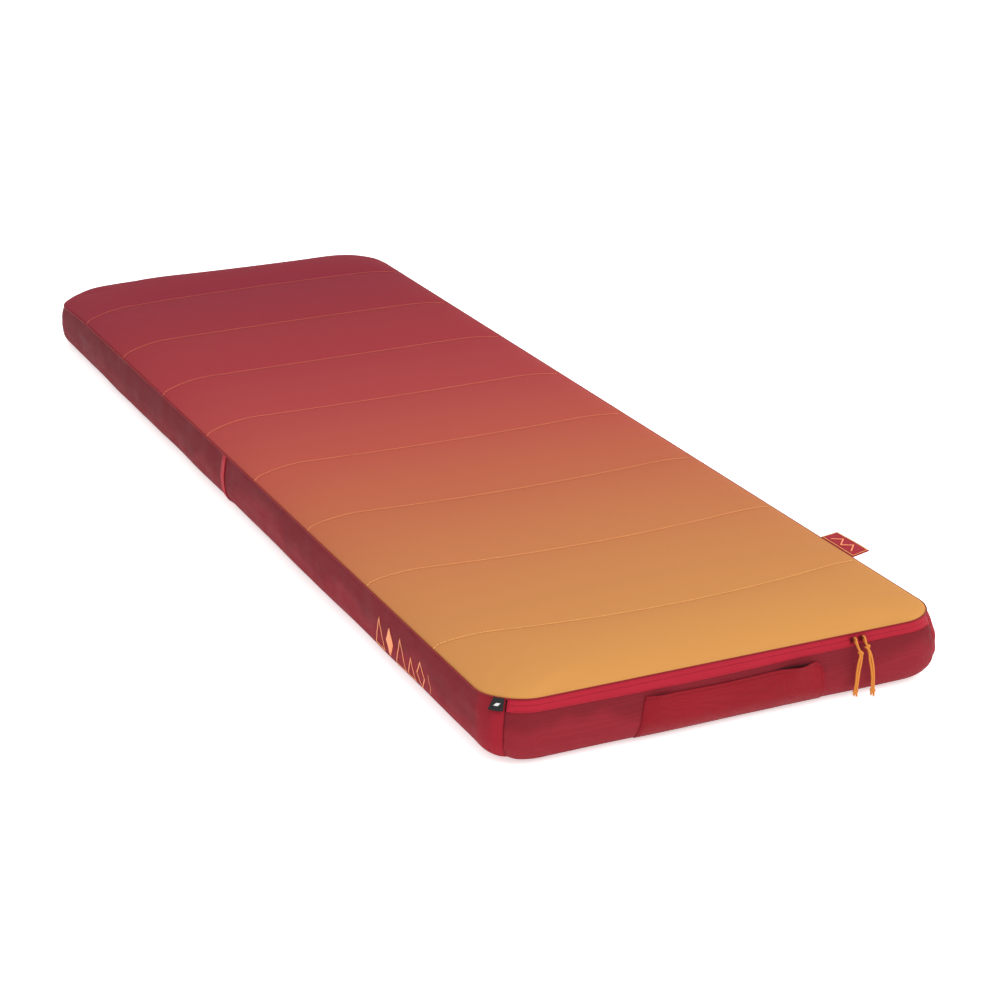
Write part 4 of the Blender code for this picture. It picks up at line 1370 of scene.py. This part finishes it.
def valve_cutter(x, radius):
    """A plug through the foot end of the mat where a valve sits."""
    sides = 24
    rows = []
    for k in range(sides):
        angle = 2 * math.pi * k / sides
        across, up = x + radius * math.cos(angle), VALVE_HEIGHT + radius * math.sin(angle)
        rows.append([Vector((across, MAT_FOOT + depth, up)) for depth in (-0.008, 0.014)])
    mesh = grid_mesh("valve_cutter", rows, closed=True)
    close_ends(mesh, 2, (0, -1))
    cutter = bpy.data.objects.new("valve_cutter", mesh)
    bpy.context.scene.collection.objects.link(cutter)
    return cutter


def cut_valve_holes(obj):
    cutters = [valve_cutter(x, radius) for x, radius in VALVE_HOLES]
    for cutter in cutters:
        cut = obj.modifiers.new("Valve hole", "BOOLEAN")
        cut.operation = "DIFFERENCE"
        cut.solver = "EXACT"
        cut.object = cutter
    bpy.context.view_layer.update()
    shape = obj.evaluated_get(bpy.context.evaluated_depsgraph_get())
    mesh = bpy.data.meshes.new_from_object(shape)
    mesh.name = obj.name
    obj.modifiers.clear()
    obj.data = mesh
    for cutter in cutters:
        bpy.data.objects.remove(cutter)


def mat():
    """Three films, one above the other, round a block of foam, with holes where the valves sit."""
    side = mat_line(0.0655, 0.079, 0.0, 3)
    film = ("film", "mat_film")
    mat_shell("mat_top_film", side + mat_crown(side[-1]), *film, "mat_film_top", (-1,), MAT_FILM)
    band = mat_shell("mat_band_film", mat_line(0.0306, 0.0654, 0.0, 6), *film, "mat_film_band", (), MAT_FILM)
    mat_shell("mat_base_film", mat_line(0.0022, 0.0305, 0.0, 6), *film, "mat_film_base", (0,), MAT_FILM)
    side = mat_line(0.0034, 0.0775, 1.2 * MM, 12)
    foam = mat_shell("foam_block", side + mat_crown(side[-1]), "foam", "foam", "foam_core", (0, -1))
    for piece in (band, foam):
        cut_valve_holes(piece)


def keep_cad(look, *nodes):
    for node in nodes:
        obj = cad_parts[node]
        obj.data.materials.clear()
        obj.data.materials.append(LOOKS[look])


def kept_nodes():
    keep_cad("coil", "zip_coil_upper", "zip_coil_lower")
    keep_cad("slider", "zip_slider_left", "zip_slider_right", "zip_stop_left", "zip_stop_right")
    keep_cad("valve", "inflate_valve_body", "inflate_valve_cap", "deflate_valve_body", "deflate_valve_cap")
    keep_cad("seal", "inflate_valve_seal", "deflate_valve_seal", "inflate_valve_flap")


# The room.


def floor():
    """A wide pale floor, a little luminous so that it reads as white."""
    corners = (-FLOOR_REACH, FLOOR_REACH)
    mesh = grid_mesh("floor", [[Vector((x, y, -0.2 * MM)) for y in corners] for x in corners])
    if mesh.polygons[0].normal.z < 0:
        mesh.flip_normals()
    nodes = Nodes("floor_paint", 0.9)
    nodes.colour(nodes.mix(nodes.noise(0.6), (0.90, 0.90, 0.90, 1.0), (0.92, 0.92, 0.92, 1.0)))
    nodes.shader.inputs["Emission Color"].default_value = (1.0, 1.0, 1.0, 1.0)
    nodes.shader.inputs["Emission Strength"].default_value = FLOOR_GLOW
    mesh.materials.append(nodes.material)
    obj = bpy.data.objects.new("floor", mesh)
    bpy.context.scene.collection.objects.link(obj)


def room():
    """A white surround, one wide soft light from above the right of the foot end, and the floor."""
    scene = bpy.context.scene
    world = bpy.data.worlds.new("studio")
    world.use_nodes = True
    background = world.node_tree.nodes["Background"]
    background.inputs[0].default_value = (1.0, 1.0, 1.0, 1.0)
    background.inputs[1].default_value = WORLD_LIGHT
    scene.world = world
    scene.view_settings.view_transform = "Standard"
    sun = bpy.data.lights.new("soft_key", "SUN")
    sun.energy = KEY_LIGHT
    sun.angle = math.radians(KEY_WIDTH)
    obj = bpy.data.objects.new("soft_key", sun)
    obj.rotation_euler = KEY_FROM.to_track_quat("Z", "Y").to_euler()
    scene.collection.objects.link(obj)
    floor()


def camera():
    lens = bpy.data.cameras.new("camera")
    lens.lens = CAMERA_LENS
    lens.sensor_width = 36.0
    lens.clip_end = 200.0
    obj = bpy.data.objects.new("camera", lens)
    obj.location = CAMERA_PLACE
    obj.rotation_euler = Euler((math.radians(90 - CAMERA_DOWN), 0.0, math.radians(-CAMERA_TURN)))
    bpy.context.scene.collection.objects.link(obj)
    bpy.context.scene.camera = obj


def main():
    camera()
    room()
    cord_pull("left")
    cord_pull("right")
    quilt_stitches(quilted_top())
    walls()
    seam_piping()
    base()
    zip_band()
    pocket_shadow_sheet()
    pocket()
    strap()
    corner_label()
    side_label()
    wall_print()
    mat()
    kept_nodes()


main()
